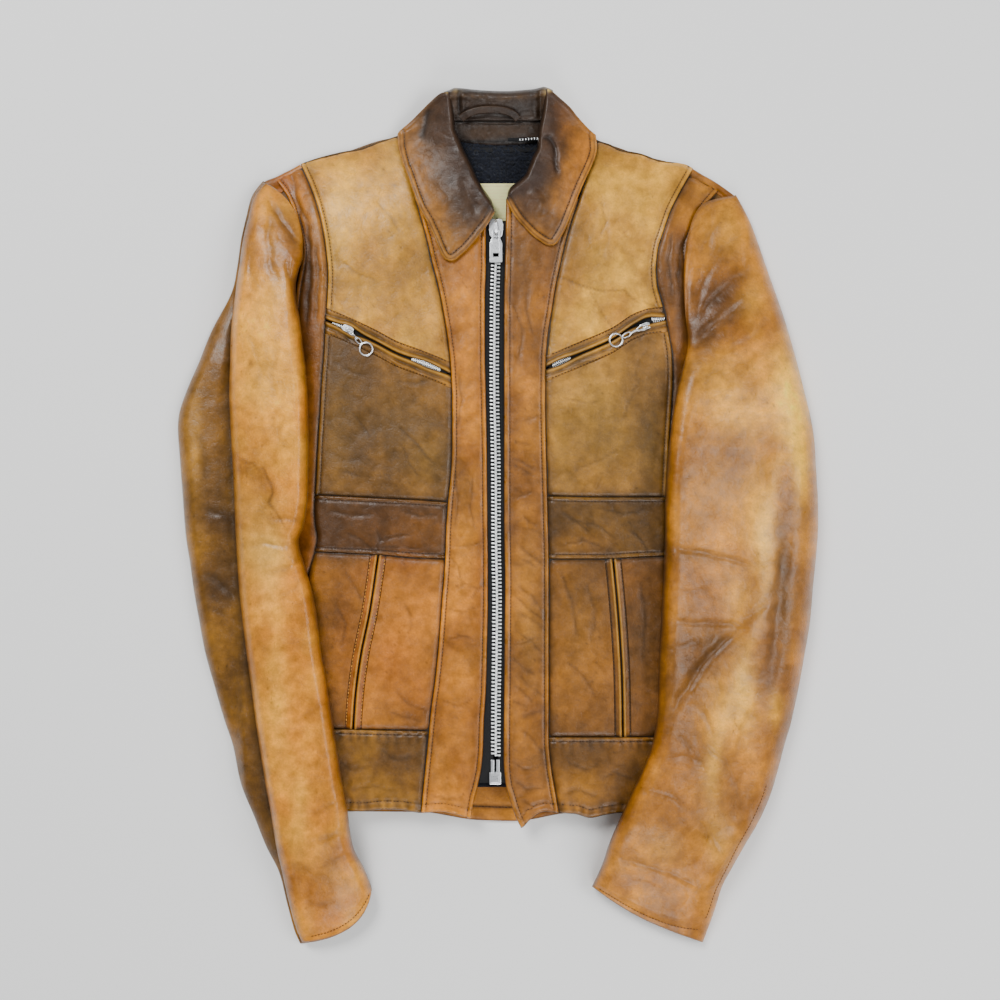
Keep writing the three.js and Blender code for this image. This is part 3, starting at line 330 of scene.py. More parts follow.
def metal(name, c, r0, r1):
    m, nt, b = material(name); L = nt.links.new
    tc = node(nt, "ShaderNodeTexCoord"); n = node(nt, "ShaderNodeTexNoise"); n.inputs["Scale"].default_value = 900; n.inputs["Detail"].default_value = 6; L(tc.outputs["Object"], n.inputs["Vector"])
    mr = node(nt, "ShaderNodeMapRange"); mr.inputs[1].default_value = 0.3; mr.inputs[2].default_value = 0.7; mr.inputs[3].default_value = r0; mr.inputs[4].default_value = r1; L(n.outputs["Fac"], mr.inputs[0]); L(mr.outputs[0], b.inputs["Roughness"])
    cr = node(nt, "ShaderNodeMixRGB"); cr.inputs[1].default_value = (*srgb([x * 0.95 for x in c]), 1); cr.inputs[2].default_value = (*srgb(c), 1); L(n.outputs["Fac"], cr.inputs[0]); L(cr.outputs[0], b.inputs["Base Color"])
    bp = node(nt, "ShaderNodeBump"); bp.inputs["Distance"].default_value = 0.00002; bp.inputs["Strength"].default_value = 0.12; L(n.outputs["Fac"], bp.inputs["Height"]); L(bp.outputs[0], b.inputs["Normal"])
    b.inputs["Metallic"].default_value = 1.0; return m
M_LEATHER = leather("worn_leather"); M_SLEEVE = leather("sleeve_leather", 1.4, (0.27, 0.46), 0.08, 0.16); M_DARK = leather("dark_leather", 1.0, (0.36, 0.52), 0.03, 0.2)
M_THREAD = thread_mat(); M_TAPE = fabric("zip_tape", (26,26,28), (14,14,16), 900); M_PILE = fabric("pile", (22,26,38), (8,9,14), 500, 0.95, 0.0004, 0.5)
M_BAG = fabric("pocket_cotton", (58,46,36), (40,32,26), 700); M_LABEL = fabric("label_weave", (236,230,206), (222,214,186), 800, 0.75, 0.0001)
M_NICKEL = metal("nickel", (246,248,250), 0.26, 0.40); M_TEETH = metal("zip_teeth", (242,244,244), 0.26, 0.42)

# ------------------------------------------------------------------ mesh assembly
EXPO = 1.0
class Build:
    def __init__(s): s.V, s.F, s.C, s.W, s.M, s.n = [], [], [], [], [], 0
    def add(s, V, F, C, W=0.0, mat=0):
        V = np.asarray(V, float).reshape(-1, 3); F = np.asarray(F, int)
        C = np.broadcast_to(np.asarray(C, float), V.shape); W = np.broadcast_to(np.asarray(W, float), (len(V),))
        s.V.append(V); s.F.append((F + s.n)); s.C.append(C); s.W.append(W); s.M.append(np.full(len(F), mat)); s.n += len(V)
    def obj(s, name, mats, body, replaces=(), smooth=True, slot=None, blend=None):
        V = np.concatenate(s.V); me = bpy.data.meshes.new(name)
        faces = [f for F in s.F for f in F.tolist()]
        me.from_pydata(V.tolist(), [], faces)
        col = np.concatenate(s.C); g_ = col.mean(1, keepdims=True); ch = np.clip((col.max(1, keepdims=True) - col.min(1, keepdims=True)) / 60.0, 0, 1); col = col * (1 + ch * (np.clip(g_ / 128.0, 0.2, 1.6) ** 0.40 - 1)) * (1 - ch * np.array([0.03, 0.045, 0.36])); g_ = col.mean(1, keepdims=True); lin = srgb(np.clip(g_ + (col - g_) * 1.10, 2, 250)) * EXPO
        a = me.color_attributes.new("Col", "FLOAT_COLOR", "POINT"); a.data.foreach_set("color", np.concatenate([lin, np.ones((len(V), 1))], 1).ravel())
        w = me.attributes.new("Wear", "FLOAT", "POINT"); w.data.foreach_set("value", np.concatenate(s.W))
        for m in mats: me.materials.append(m)
        me.polygons.foreach_set("material_index", np.concatenate(s.M).astype(int)); me.polygons.foreach_set("use_smooth", np.full(len(me.polygons), smooth))
        me.update()
        o = bpy.data.objects.new(name, me); bpy.context.scene.collection.objects.link(o)
        if replaces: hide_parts(*replaces)
        if blend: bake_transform(o)
        else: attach(o, body)
        return o
def gridfaces(nv, nu, flip=False, closed=False):
    i = np.arange(nv - 1)[:, None]; j = np.arange(nu if closed else nu - 1)[None, :]; k = (j + 1) % nu
    a = i * nu + j; b = i * nu + k; c = (i + 1) * nu + k; d = (i + 1) * nu + j
    q = np.stack([a, d, c, b], -1).reshape(-1, 4)
    return q[:, ::-1] if flip else q
def slabmesh(B, top, bot, C, W=0.0, mat=0):
    """closed sheet from two (nv, nu, 3) grids, rows running down and columns running across to the right"""
    nv, nu = top.shape[:2]; n = nv * nu
    F = [gridfaces(nv, nu), gridfaces(nv, nu, True) + n]
    ring = np.concatenate([np.arange(nu), np.arange(1, nv) * nu + nu - 1, (nv - 1) * nu + np.arange(nu - 2, -1, -1), np.arange(nv - 2, 0, -1) * nu])
    r2 = np.roll(ring, -1)
    F.append(np.stack([ring, r2, r2 + n, ring + n], -1))
    V = np.concatenate([top.reshape(-1, 3), bot.reshape(-1, 3)])
    C = np.asarray(C, float)
    # the bottom sheet takes the top colours darkened to 0.55: painted shade on the underside and on the cut edges
    # between the sheets
    if C.ndim == 3: C = np.concatenate([C.reshape(-1, 3), C.reshape(-1, 3) * 0.55])
    if np.ndim(W) == 2: W = np.concatenate([np.ravel(W), np.zeros(n)])
    B.add(V, np.concatenate(F), C, W, mat)

def nodes1d(width, step=2.1, fine=True):
    if not fine: return np.linspace(0, 1, max(3, int(width / step) + 1))
    e = np.array([0, .35, .8, 1.4, 2.1, 2.9, 3.7, 4.5, 5.3, 6.3, 7.6])
    if width < 17:
        return np.linspace(0, 1, max(4, int(width / 0.9) + 1))
    mid = np.linspace(9.2, width - 9.2, max(2, int((width - 18.4) / step) + 1)) if width > 20 else np.array([width / 2])
    return np.concatenate([e, mid, (width - e)[::-1]]) / width

def coons(L, R, T, Bt, a, b):
    """L, R: functions u(v); T, Bt: functions v(u); returns U, V grids for a (across) and b (down)"""
    def corner(f, g):
        u = float(f(400.0)); v = 400.0
        for _ in range(40): u = float(f(v)); v = float(g(u))
        return u, v
    tl, tr, bl, br = corner(L, T), corner(R, T), corner(L, Bt), corner(R, Bt)
    A, Bb = np.meshgrid(a, b)
    vl = tl[1] + (bl[1] - tl[1]) * Bb; vr = tr[1] + (br[1] - tr[1]) * Bb
    ut = tl[0] + (tr[0] - tl[0]) * A; ub = bl[0] + (br[0] - bl[0]) * A
    def bil(k): return (1 - Bb) * ((1 - A) * tl[k] + A * tr[k]) + Bb * ((1 - A) * bl[k] + A * br[k])
    U = (1 - A) * L(vl) + A * R(vr) + (1 - Bb) * ut + Bb * ub - bil(0)
    V = (1 - A) * vl + A * vr + (1 - Bb) * T(ut) + Bb * Bt(ub) - bil(1)
    return U, V, (tl, tr, bl, br)
def slope(f, t, e=0.5): return (f(t + e) - f(t - e)) / (2 * e)

def edge_profile(d, style):
    """height in mm of a sewn edge, d pattern units from it"""
    if style == "over":
        return np.where(d < 0.9, -1.5 * (1 - np.sqrt(np.clip(d / 0.9, 0, 1))), 0) + 0.75 * gauss(d - 1.9, 1.9) - 0.6 * gauss(d - 4.6, 1.0) + 0.3 * gauss(d - 8, 3.0)
    if style == "wide":
        return np.where(d < 0.9, -1.5 * (1 - np.sqrt(np.clip(d / 0.9, 0, 1))), 0) + 0.8 * gauss(d - 2.4, 2.6) - 0.6 * gauss(d - 5.9, 1.0) + 0.3 * gauss(d - 9, 3.0)
    if style == "under":
        return -1.5 * gauss(d, 2.4) + 0.25 * gauss(d - 7, 4)
    if style == "hem":
        return -2.0 * gauss(d, 0.8) + 0.5 * gauss(d - 3, 3) - 0.8 * gauss(d - 8.5, 1.0) + 0.3 * gauss(d - 12, 3)
    if style == "roll":
        return -2.2 * gauss(d, 2.5)
    return np.zeros_like(d)
STITCH_D = {"over": 4.6, "wide": 5.9, "hem": 8.5}

def stitches(B, P, N=None, colour=(70,44,26), pitch=3.3, length=2.45, w=0.36, mat=1):
    """thread along a dense 3-D line in metres"""
    P = np.asarray(P, float); s = np.concatenate([[0], np.cumsum(np.linalg.norm(np.diff(P, axis=0), axis=1))])
    pitch, length, w = pitch * .0009, length * .0009, w * .001
    n = int(s[-1] / pitch)
    if n < 1: return
    c = (np.arange(n) + 0.5) * pitch
    def pt(x): return np.stack([np.interp(x, s, P[:, k]) for k in range(3)], -1)
    a, m, b = pt(c - length / 2), pt(c), pt(c + length / 2)
    t = b - a; t /= np.linalg.norm(t, axis=1)[:, None] + 1e-12
    up = np.array([0, 0, 1.0]) if N is None else N
    side = np.cross(t, up); side /= np.linalg.norm(side, axis=1)[:, None] + 1e-12
    upv = np.cross(side, t)
    rings = []
    for q, r, lift in ((a, 0.25, -0.15), (a * .75 + b * .25, 0.9, 0.25), (m, 1.0, 0.35), (a * .25 + b * .75, 0.9, 0.25), (b, 0.25, -0.15)):
        o = q + upv * lift * w
        rings += [o + side * r * w, o + upv * r * w * 0.8, o - side * r * w, o - upv * r * w * 0.8]
    V = np.stack(rings, 1).reshape(-1, 3)
    f = []
    for k in range(4):
        for j in range(4): f.append([4*k+j, 4*k+(j+1) % 4, 4*k+4+(j+1) % 4, 4*k+4+j])
    f += [[3,2,1,0],[16,17,18,19]]
    F = (np.arange(n)[:, None, None] * 20 + np.array(f)[None]).reshape(-1, 4)
    jit = 1 + 0.12 * np.sin(np.arange(n) * 2.4)
    B.add(V, F, np.repeat(np.array(colour, float)[None] * jit[:, None], 20, 0), 0, mat)

def H0(U, V): return frontTop(U, V) + relief(U, V)
def panel(name, L, R, T, Bt, styles, key=None, Hf=H0, thick=2.2, step=2.1, mats=None, replaces=None, body="shell", drop=0.0, B=None, done=True, thread=None, slot="body_leather", puff=0.8, table=TONE_AND_SHADE_SPOTS, pucker=()):
    key = key or name
    w = float(np.mean(R(np.linspace(200, 800, 5)) - L(np.linspace(200, 800, 5))))
    U0, V0, (tl, tr, bl, br) = coons(L, R, T, Bt, np.array([0, 1.0]), np.array([0, 1.0]))
    W = 0.5 * (abs(tr[0] - tl[0]) + abs(br[0] - bl[0])); Hh = 0.5 * (abs(bl[1] - tl[1]) + abs(br[1] - tr[1]))
    a, b = nodes1d(W, step), nodes1d(Hh, step)
    U, V, _ = coons(L, R, T, Bt, a, b)
    dist = {"L": (U - L(V)) / np.sqrt(1 + slope(L, V) ** 2), "R": (R(V) - U) / np.sqrt(1 + slope(R, V) ** 2), "T": (V - T(U)) / np.sqrt(1 + slope(T, U) ** 2), "B": (Bt(U) - V) / np.sqrt(1 + slope(Bt, U) ** 2)}
    h = Hf(U, V) - drop
    nearest = np.full(U.shape, 1e9)
    C = tone(U, V, key, table); Wr = np.zeros(U.shape)
    for e, st in styles.items():
        d = np.maximum(dist[e], 0)
        if st == "none": continue
        h = h + edge_profile(d, st); nearest = np.minimum(nearest, d)
        nn = 0.5 + 0.5 * fbm(U / 16, V / 16, 81, 3)
        if st in ("over", "wide", "hem"):
            rw = {"over": 1.9, "wide": 2.4, "hem": 1.6}[st]
            worn = gauss(d - rw * 0.9, rw) * np.clip(0.35 + 0.8 * nn, 0, 1)
            C = mix(C, OCHRE, worn * 0.13); Wr = np.maximum(Wr, worn)
            # darker at the rounded seam edge and in the stitch groove: painted shade in these hollows; the ochre band
            # above is edge wear
            C = C * (1 - 0.16 * gauss(d - STITCH_D[st], 0.9))[..., None] * (1 - 0.30 * gauss(d, 0.5))[..., None]
            C = C * (1 - 0.06 * gauss(d - STITCH_D[st] - 3, 4))[..., None]
        elif st == "under":
            # darker where the edge dips under its neighbour: painted shade
            C = C * (1 - 0.5 * gauss(d, 1.1))[..., None] * (1 - 0.16 * gauss(d, 5))[..., None]
    h = h + puff * (1 - np.exp(-np.clip(nearest, 0, 60) / 16)) - puff * 0.6
    for e in pucker:
        d = dist[e]
        t = U if e in "TB" else V
        h = h + 0.45 * np.sin(t / 1.55 + 2.2 * noise(t / 15, d / 15, 91)) * gauss(d - 6, 6) * (0.6 + 0.6 * noise(t / 20, d * 0, 93))
        # colour follows the pucker waves, lighter on crests and darker in troughs: painted shading
        C = C * (1 + 0.12 * np.sin(t / 1.55 + 2.2 * noise(t / 15, d / 15, 91)) * gauss(d - 6, 6))[..., None]
    # painted shade in the folds
    dk = painted_crease_shade(U, V)
    C = C * (1 - 0.20 * dk)[..., None]
    # colour lighter on raised relief and darker in hollows: painted shading
    rel = relief(U, V)
    C = C * (1 + 0.08 * np.clip(rel, -1, 1))[..., None]
    top = at(U, V, h); bot = at(U, V, np.maximum(frontTop(U, V) - drop - thick, 2.4))
    own = B is None
    B = B or Build()
    slabmesh(B, top, bot, C, Wr)
    # topstitching
    for e, st in styles.items():
        if st not in STITCH_D: continue
        off = STITCH_D[st]
        n = 600; t = np.linspace(0, 1, n)
        if e in "LR":
            f = L if e == "L" else R; c0, c1 = (tl, bl) if e == "L" else (tr, br)
            vv = c0[1] + 2.5 + (c1[1] - c0[1] - 5) * t; uu = f(vv) + (off if e == "L" else -off) * np.sqrt(1 + slope(f, vv) ** 2)
        else:
            f = T if e == "T" else Bt; c0, c1 = (tl, tr) if e == "T" else (bl, br)
            uu = c0[0] + 2.5 + (c1[0] - c0[0] - 5) * t; vv = f(uu) + (off if e == "T" else -off) * np.sqrt(1 + slope(f, uu) ** 2)
        z = Hf(uu, vv) - drop + edge_profile(np.full(n, off), st) + puff * (1 - math.exp(-off / 16)) - puff * 0.6 + 0.22
        stitches(B, at(uu, vv, z), colour=thread or (74,46,26))
    if own and done:
        return B.obj(name + "_leather", mats or [M_LEATHER, M_THREAD], body, replaces or [name], slot=slot)
    return B

# ------------------------------------------------------------------ front of the body
for k in "rl":
    R_ = k == "r"
    two = lambda out, inn: (out, inn) if R_ else (inn, out)
    oe, ie = ("L", "R") if R_ else ("R", "L")  # outer and inner edges of a panel
    P, S, Z = princess[k], seamStrip[k], zipEdge[k]
    panel("placket_" + k, *two(S, Z), row(192 if R_ else 199), hemBot[k], {oe: "over", ie: "wide" if not R_ else "over", "B": "hem"}, puff=1.2)
    panel("chest_upper_" + k, *two(P, S), shift(shoulder, 0.3), shift(chestZip[k], -12.5), {oe: "over", ie: "under", "T": "roll"}, puff=1.0)
    panel("chest_lower_" + k, *two(P, S), shift(chestZip[k], 13.5), waistTop[k], {oe: "over", ie: "under", "B": "under"}, puff=1.1)
    panel("waist_band_" + k, *two(P, S), waistTop[k], waistBot[k], {oe: "under", ie: "under", "T": "over", "B": "over"}, puff=1.1, slot="dark_leather")
    wd = 8.5
    so, si = shift(split[k], -wd if R_ else wd), shift(split[k], wd if R_ else -wd)
    lt = (196,142,92) if R_ else (78,52,30)
    panel("lower_panel_outer_" + k, *two(P, so), waistBot[k], hemTop[k], {oe: "under", "T": "under", "B": "under"}, puff=0.7, slot="lower_leather")
    panel("lower_panel_inner_" + k, *two(si, S), waistBot[k], hemTop[k], {ie: "under", "T": "under", "B": "under"}, puff=0.9, slot="lower_leather")
    panel("hem_band_" + k, *two(P, S), hemTop[k], hemBot[k], {oe: "under", ie: "under", "T": "over", "B": "hem"}, puff=1.0, pucker=("B", "T"))
    panel("side_panel_" + k, *two(sideLine[k], P), byU([[262,186],[283,175],[302,167],[330,160]] if R_ else [[660,162],[689,176],[719,191]]), row(810), {oe: "over", ie: "under", "T": "roll"}, puff=0.9)
    # chest zip: an upper and a lower lip
    B = Build(); cz = chestZip[k]
    if R_: gap = lambda u: 0.55 + 2.6 * gauss(u - 350, 9) + 1.6 * gauss(u - 428, 14)
    else: gap = lambda u: 0.55 + 2.2 * gauss(u - 648, 12) + 1.7 * gauss(u - 560, 12)
    lipT = (lambda cz=cz, gap=gap: (lambda u: cz(u) - gap(u)))(); lipB = (lambda cz=cz, gap=gap: (lambda u: cz(u) + gap(u)))()
    for T_, B_, st in ((shift(cz, -12.5), lipT, {"B": "lip"}), (lipB, shift(cz, 13.5), {"T": "lip"})):
        U0, V0, _c = coons(*two(P, S), T_, B_, nodes1d(120, 1.8, False), nodes1d(12, 0.8))
        dl = (B_(U0) - V0) if "B" in st else (V0 - T_(U0))
        de = np.minimum(np.abs(U0 - P(V0)), np.abs(U0 - S(V0)))
        hh = H0(U0, V0) - 0.5 + 1.5 * gauss(dl - 2.2, 2.4) - 1.6 * gauss(dl, 0.8) - 0.7 * gauss(dl - 6, 1.6) + (0.7 if "T" in st else 0.3) * gauss(dl - 9, 2.6) - 1.2 * gauss(de, 2.0)
        # the darkening at the lip edge over the gap, in the folds, in the groove at 6 and at the welt ends is painted
        # shade; the ochre band on the lip is edge wear
        C0 = tone(U0, V0, "chest_zip_welt_" + k) * (1 - 0.62 * gauss(dl, 1.1))[..., None] * (1 - 0.35 * painted_crease_shade(U0, V0))[..., None] * (1 - 0.22 * gauss(dl - 6.0, 1.8))[..., None]
        C0 = mix(C0, OCHRE, 0.35 * gauss(dl - 2.4, 1.6))
        C0 = C0 * (1 - 0.5 * gauss(de, 1.6))[..., None]
        slabmesh(B, at(U0, V0, hh), at(U0, V0, frontTop(U0, V0) - 2.2), C0)
        n = 400; e0 = P(cz(np.array(320.0 if R_ else 665.0))); e1 = S(cz(np.array(447.0 if R_ else 549.0)))
        uu = np.linspace(float(e0) + (4 if R_ else -4), float(e1) + (-4 if R_ else 4), n); vv = (T_(uu) + 1.0) if "B" in st else (B_(uu) - 1.2)
        stitches(B, at(uu, vv, H0(uu, vv) - 0.5 + (0.7 if "T" in st else 0.3) * 0.8 + 0.3), colour=(84,54,30))
    B.obj("chest_zip_welt_" + k + "_leather", [M_LEATHER, M_THREAD], "shell", ["chest_zip_welt_" + k], slot="body_leather")
    # hand pocket: two welts and a slit
    B = Build(); sp = split[k]
    for a0, b0, side in ((-wd, -0.55, -1), (0.55, wd, 1)):
        Lf, Rf = shift(sp, a0), shift(sp, b0)
        U0, V0, _c = coons(Lf, Rf, waistBot[k], hemTop[k], nodes1d(9, 0.75), nodes1d(170, 2.0))
        dl = np.abs(U0 - sp(V0)) - 0.55; dt = np.minimum(V0 - waistBot[k](U0), hemTop[k](U0) - V0)
        hh = H0(U0, V0) - 0.4 + 1.3 * gauss(dl - 1.8, 1.9) - 1.4 * gauss(dl, 0.6) - 0.7 * gauss(dl - 7.0, 1.0) - 1.4 * gauss(dt, 2.4)
        # darker in the slit, in the groove at 7.2 and at the welt ends: painted shade; the ochre band is edge wear
        C0 = tone(U0, V0, "hand_pocket_welt_" + k) * (1 - 0.75 * gauss(dl, 0.55))[..., None] * (1 - 0.3 * gauss(dl - 7.2, 1.2))[..., None] * (1 - 0.5 * gauss(dt, 1.8))[..., None]
        C0 = mix(C0, OCHRE, 0.5 * gauss(dl - 1.5, 1.3))
        slabmesh(B, at(U0, V0, hh), at(U0, V0, frontTop(U0, V0) - 2.2), C0)
        vv = np.linspace(_c[0][1] + 4, _c[2][1] - 3, 500); uu = sp(vv) + side * 7.3
        stitches(B, at(uu, vv, H0(uu, vv) - 0.4 - 0.6 + 0.35), colour=lt)
    B.obj("hand_pocket_welt_" + k + "_leather", [M_LEATHER, M_THREAD], "shell", ["hand_pocket_welt_" + k], slot="lower_leather")

# ------------------------------------------------------------------ sleeves
def cr(P, t):
    """Catmull-Rom through P[0..n-1] at real positions t"""
    P = np.asarray(P, float); n = len(P); t = np.clip(np.asarray(t, float), 0, n - 1 - 1e-9); i = np.floor(t).astype(int); f = t - i
    g = lambda k: P[np.clip(k, 0, n - 1)]
    f = f.reshape(f.shape + (1,) * (P.ndim - 1)); p0, p1, p2, p3 = g(i - 1), g(i), g(i + 1), g(i + 2)
    return 0.5 * (2*p1 + (p2 - p0)*f + (2*p0 - 5*p1 + 4*p2 - p3)*f**2 + (3*p1 - p0 - 3*p2 + p3)*f**3)
SL = {"r": [], "l": []}
def sf(k, pts, w, d): SL[k].append((pts, w, d))
for p, w, d in [
 ([(264,192),(276,214),(292,236),(303,250)],3.2,2.2), ([(286,256),(289,275),(296,296),(301,312)],3.0,2.0), ([(254,200),(250,225),(250,260),(254,300)],4.5,1.2), ([(274,196),(268,230),(270,262),(282,290)],3.6,1.4),
 ([(204,508),(216,514),(234,516)],3.0,1.4), ([(202,572),(218,582),(238,600)],3.4,1.6), ([(206,606),(220,612),(238,622)],2.6,0.9), ([(196,430),(206,460),(204,490)],3.0,0.9), ([(212,700),(226,706),(246,704)],2.6,0.9),
 ([(304,524),(288,518),(268,520)],2.2,0.9), ([(300,541),(284,546),(262,543),(244,548)],2.6,1.3), ([(303,556),(288,566),(268,572)],2.2,0.9), ([(308,574),(294,588),(276,596)],2.0,0.6), ([(240,560),(256,566),(276,562)],2.0,0.6),
 ([(240,458),(253,463),(262,470),(271,482),(272,493),(268,503),(276,513),(286,530)],1.1,0.12), ([(250,640),(270,650),(296,648)],2.0,0.5), ([(262,700),(280,712),(300,706)],2.4,0.6), ([(326,700),(312,712),(296,722)],2.2,0.6),
 ([(334,748),(318,764),(300,772)],2.2,0.7), ([(342,800),(324,808),(306,818)],2.4,0.8), ([(348,826),(330,838),(312,842)],2.6,1.0), ([(352,850),(334,862),(316,868)],2.4,0.9), ([(290,860),(306,868),(322,884)],2.2,0.6), ([(300,900),(318,906),(340,900)],2.4,0.6),
 ([(246,330),(258,352),(262,380)],2.4,0.35), ([(280,340),(272,372),(276,400)],2.4,0.35), ([(288,410),(278,430),(280,450)],2.0,0.3)]: sf("r", p, w, d)
for p, w, d in [
 ([(752,298),(732,314),(711,330),(690,350)],5.5,3.6), ([(760,270),(735,280),(712,300),(696,322)],4.5,1.8), ([(744,232),(724,250),(706,276),(694,304)],4.0,1.4), ([(728,212),(712,232),(700,256)],3.0,1.0), ([(772,318),(752,338),(724,352)],3.2,1.0),
 ([(667,545),(684,550),(700,552),(730,559),(765,570)],3.0,1.6), ([(664,590),(690,592),(716,588)],2.4,0.8), ([(662,620),(690,623),(730,624),(750,632)],3.0,1.7), ([(660,650),(684,646),(706,640)],2.4,1.0),
 ([(742,624),(726,640),(711,655),(699,669),(681,698),(661,735)],5.0,4.2), ([(770,600),(756,612),(740,624)],3.4,1.6), ([(792,516),(784,560),(778,610),(774,660),(768,700)],6.5,2.2), ([(806,430),(796,470),(792,510)],4.0,1.0),
 ([(700,740),(722,760),(740,790)],3.2,1.1), ([(760,700),(744,726),(736,756)],3.2,1.1), ([(660,760),(684,756),(706,764)],2.8,1.0), ([(640,790),(668,796),(690,812)],2.6,0.9), ([(700,820),(712,840),(722,857)],2.8,1.3), ([(605,855),(640,864),(676,876),(710,893)],2.6,1.2),
 ([(620,828),(648,838),(672,836)],2.4,0.7), ([(742,770),(734,800),(738,826)],3.0,0.9), ([(690,700),(706,716),(716,740)],2.6,1.0), ([(676,730),(690,748),(698,772)],2.6,0.8), ([(668,470),(684,478),(704,474)],2.2,0.5), ([(672,430),(690,440),(712,432)],2.2,0.4),
 ([(800,440),(796,452),(792,466)],1.6,0.4), ([(780,560),(764,566),(750,560)],2.4,0.8), ([(690,520),(712,514),(736,520)],2.2,0.4), ([(628,880),(650,884),(672,896)],2.2,0.5)]: sf("l", p, w, d)
RIDGE = {"l": [([(792,425),(781,450),(775,480),(764,530),(767,575),(758,625),(743,668),(733,692),(716,750),(711,780),(712,808)], 13, 3.2), ([(700,668),(716,648),(740,636),(766,630)], 9, 1.6), ([(672,380),(690,365),(720,345),(756,322)], 10, 2.2)],
         "r": [([(250,345),(246,420),(250,500),(255,600),(268,680),(284,755),(300,820),(318,872)], 14, 1.8), ([(196,400),(194,460),(197,520),(203,600),(222,690)], 8, 1.6)]}
def s_relief(k, U, V):
    r = 1.0 * fbm(U / 70, V / 85, 102 if k == "r" else 202, 3) + 0.26 * fbm(U / 18, V / 20, 107, 3)
    mask = sm(0.45 + 1.3 * noise(U / 60, V / 60, 121 if k == "r" else 127))
    r = r - 0.16 * mask * veins(U / 17, V / 15, 131, 0.12) - 0.07 * veins(U / 8, V / 8, 135, 0.12) * mask
    for pts, w, d in SL[k]:
        c = crease(U, V, pts, w * 1.0, 0.3)
        if c.any(): r = r - 0.55 * d * c + 0.28 * d * (crease(U, V, pts, w * 2.8, 0.35) - c)
    for pts, w, d in RIDGE[k]: r = r + 0.8 * d * crease(U, V, pts, w * 1.3, 0.25)
    return r
# painted shade: a mask that darkens the colour along the sleeve folds
def s_painted_crease_shade(k, U, V):
    m = np.zeros(U.shape)
    for pts, w, d in SL[k]: m = np.maximum(m, crease(U, V, pts, w * 1.5, 0.35) * min(1.0, 0.22 + d * 0.26))
    return m
# u, v, ru, rv, colour, strength: tone patches plus painted light; (288,236) and (294,290) darken the hollow folds at
# the cap (painted shade), and (270,585) is a painted highlight
SP_R_TONE_HIGHLIGHT_SHADE = [(262,330,34,70,(220,162,84),.7),(255,250,14,44,(198,128,62),.5),(288,236,14,26,(132,84,54),.65),(294,290,8,26,(140,90,56),.5),(262,420,30,50,(214,150,76),.5),(246,500,18,36,(176,118,64),.55),(290,500,18,30,(206,140,70),.4),
 (262,545,24,40,(192,138,86),.6),(270,585,16,34,(222,172,124),.5),(290,600,14,40,(200,130,62),.4),(262,650,14,50,(196,130,64),.4),(300,700,30,60,(206,138,62),.5),(282,740,12,60,(220,160,96),.35),(320,800,26,40,(198,128,58),.5),(335,880,24,26,(206,142,70),.5),(306,900,16,26,(186,116,52),.5),(306,840,12,40,(178,110,50),.4),(251,363,3,4,(120,78,44),.6)]
# (292,216) is painted shade in a cap fold; (268,548), (276,690) and (300,810) are painted highlights
SP_R_TONE_HIGHLIGHT_SHADE += [(292,216,14,20,(150,104,60),.55),(286,206,10,12,(196,146,84),.5),(270,300,18,30,(226,170,94),.4),(262,385,24,30,(224,170,100),.45),(268,548,22,22,(226,188,146),.5),(276,690,10,60,(230,176,106),.4),(300,810,10,50,(232,182,116),.4),(330,850,10,30,(150,100,50),.4),(296,650,10,50,(176,112,50),.45),(322,760,10,50,(178,116,54),.45)]
# u, v, ru, rv, colour, strength; the dark patches (218,520) and (216,590) lie in the elbow creases of the lower layer:
# painted shade
SP_RL_TONE_AND_SHADE = [(205,400,22,50,(150,104,52),.5),(196,480,14,40,(118,84,44),.6),(218,520,20,12,(92,62,36),.6),(216,590,20,14,(92,62,36),.6),(222,650,14,30,(150,104,54),.5),(230,740,12,40,(142,96,46),.4),(195,430,7,50,(196,148,88),.45)]
# u, v, ru, rv, colour, strength: tone patches plus painted light; (722,300), (698,330), (784,590), (772,660),
# (688,658), (720,640), (665,450) and (663,600) are painted shade in the folds, the valley and along the inner edge, and
# (788,390) and (722,712) are painted highlights
SP_L_TONE_HIGHLIGHT_SHADE = [(728,228,20,30,(196,144,80),.6),(760,250,16,44,(198,134,64),.5),(722,300,34,26,(106,66,30),.85),(698,330,16,24,(92,58,28),.75),(722,392,40,34,(210,158,88),.65),(788,390,20,50,(236,188,110),.75),(700,430,26,50,(186,124,60),.5),(756,500,20,50,(204,154,98),.6),(800,460,10,24,(214,166,66),.5),(802,540,12,60,(156,106,46),.5),
 (784,590,9,80,(112,76,40),.65),(700,520,26,34,(178,118,58),.5),(735,520,20,40,(196,140,78),.4),(690,590,24,40,(150,98,50),.55),(740,590,22,30,(186,128,64),.5),(688,658,22,34,(112,72,32),.8),(668,700,12,36,(120,80,44),.6),(720,640,22,12,(98,66,38),.5),(772,660,14,60,(128,82,34),.8),(722,712,20,36,(222,168,106),.65),(775,710,7,20,(210,156,66),.5),
 (690,760,26,40,(176,114,52),.5),(740,780,20,40,(168,108,50),.5),(650,810,24,30,(186,122,54),.5),(700,830,30,30,(160,106,52),.5),(630,860,26,20,(176,116,54),.5),(690,900,30,22,(182,120,54),.5),(725,860,10,30,(150,98,48),.5),(665,450,6,90,(120,82,46),.5),(663,600,5,60,(116,78,44),.5)]

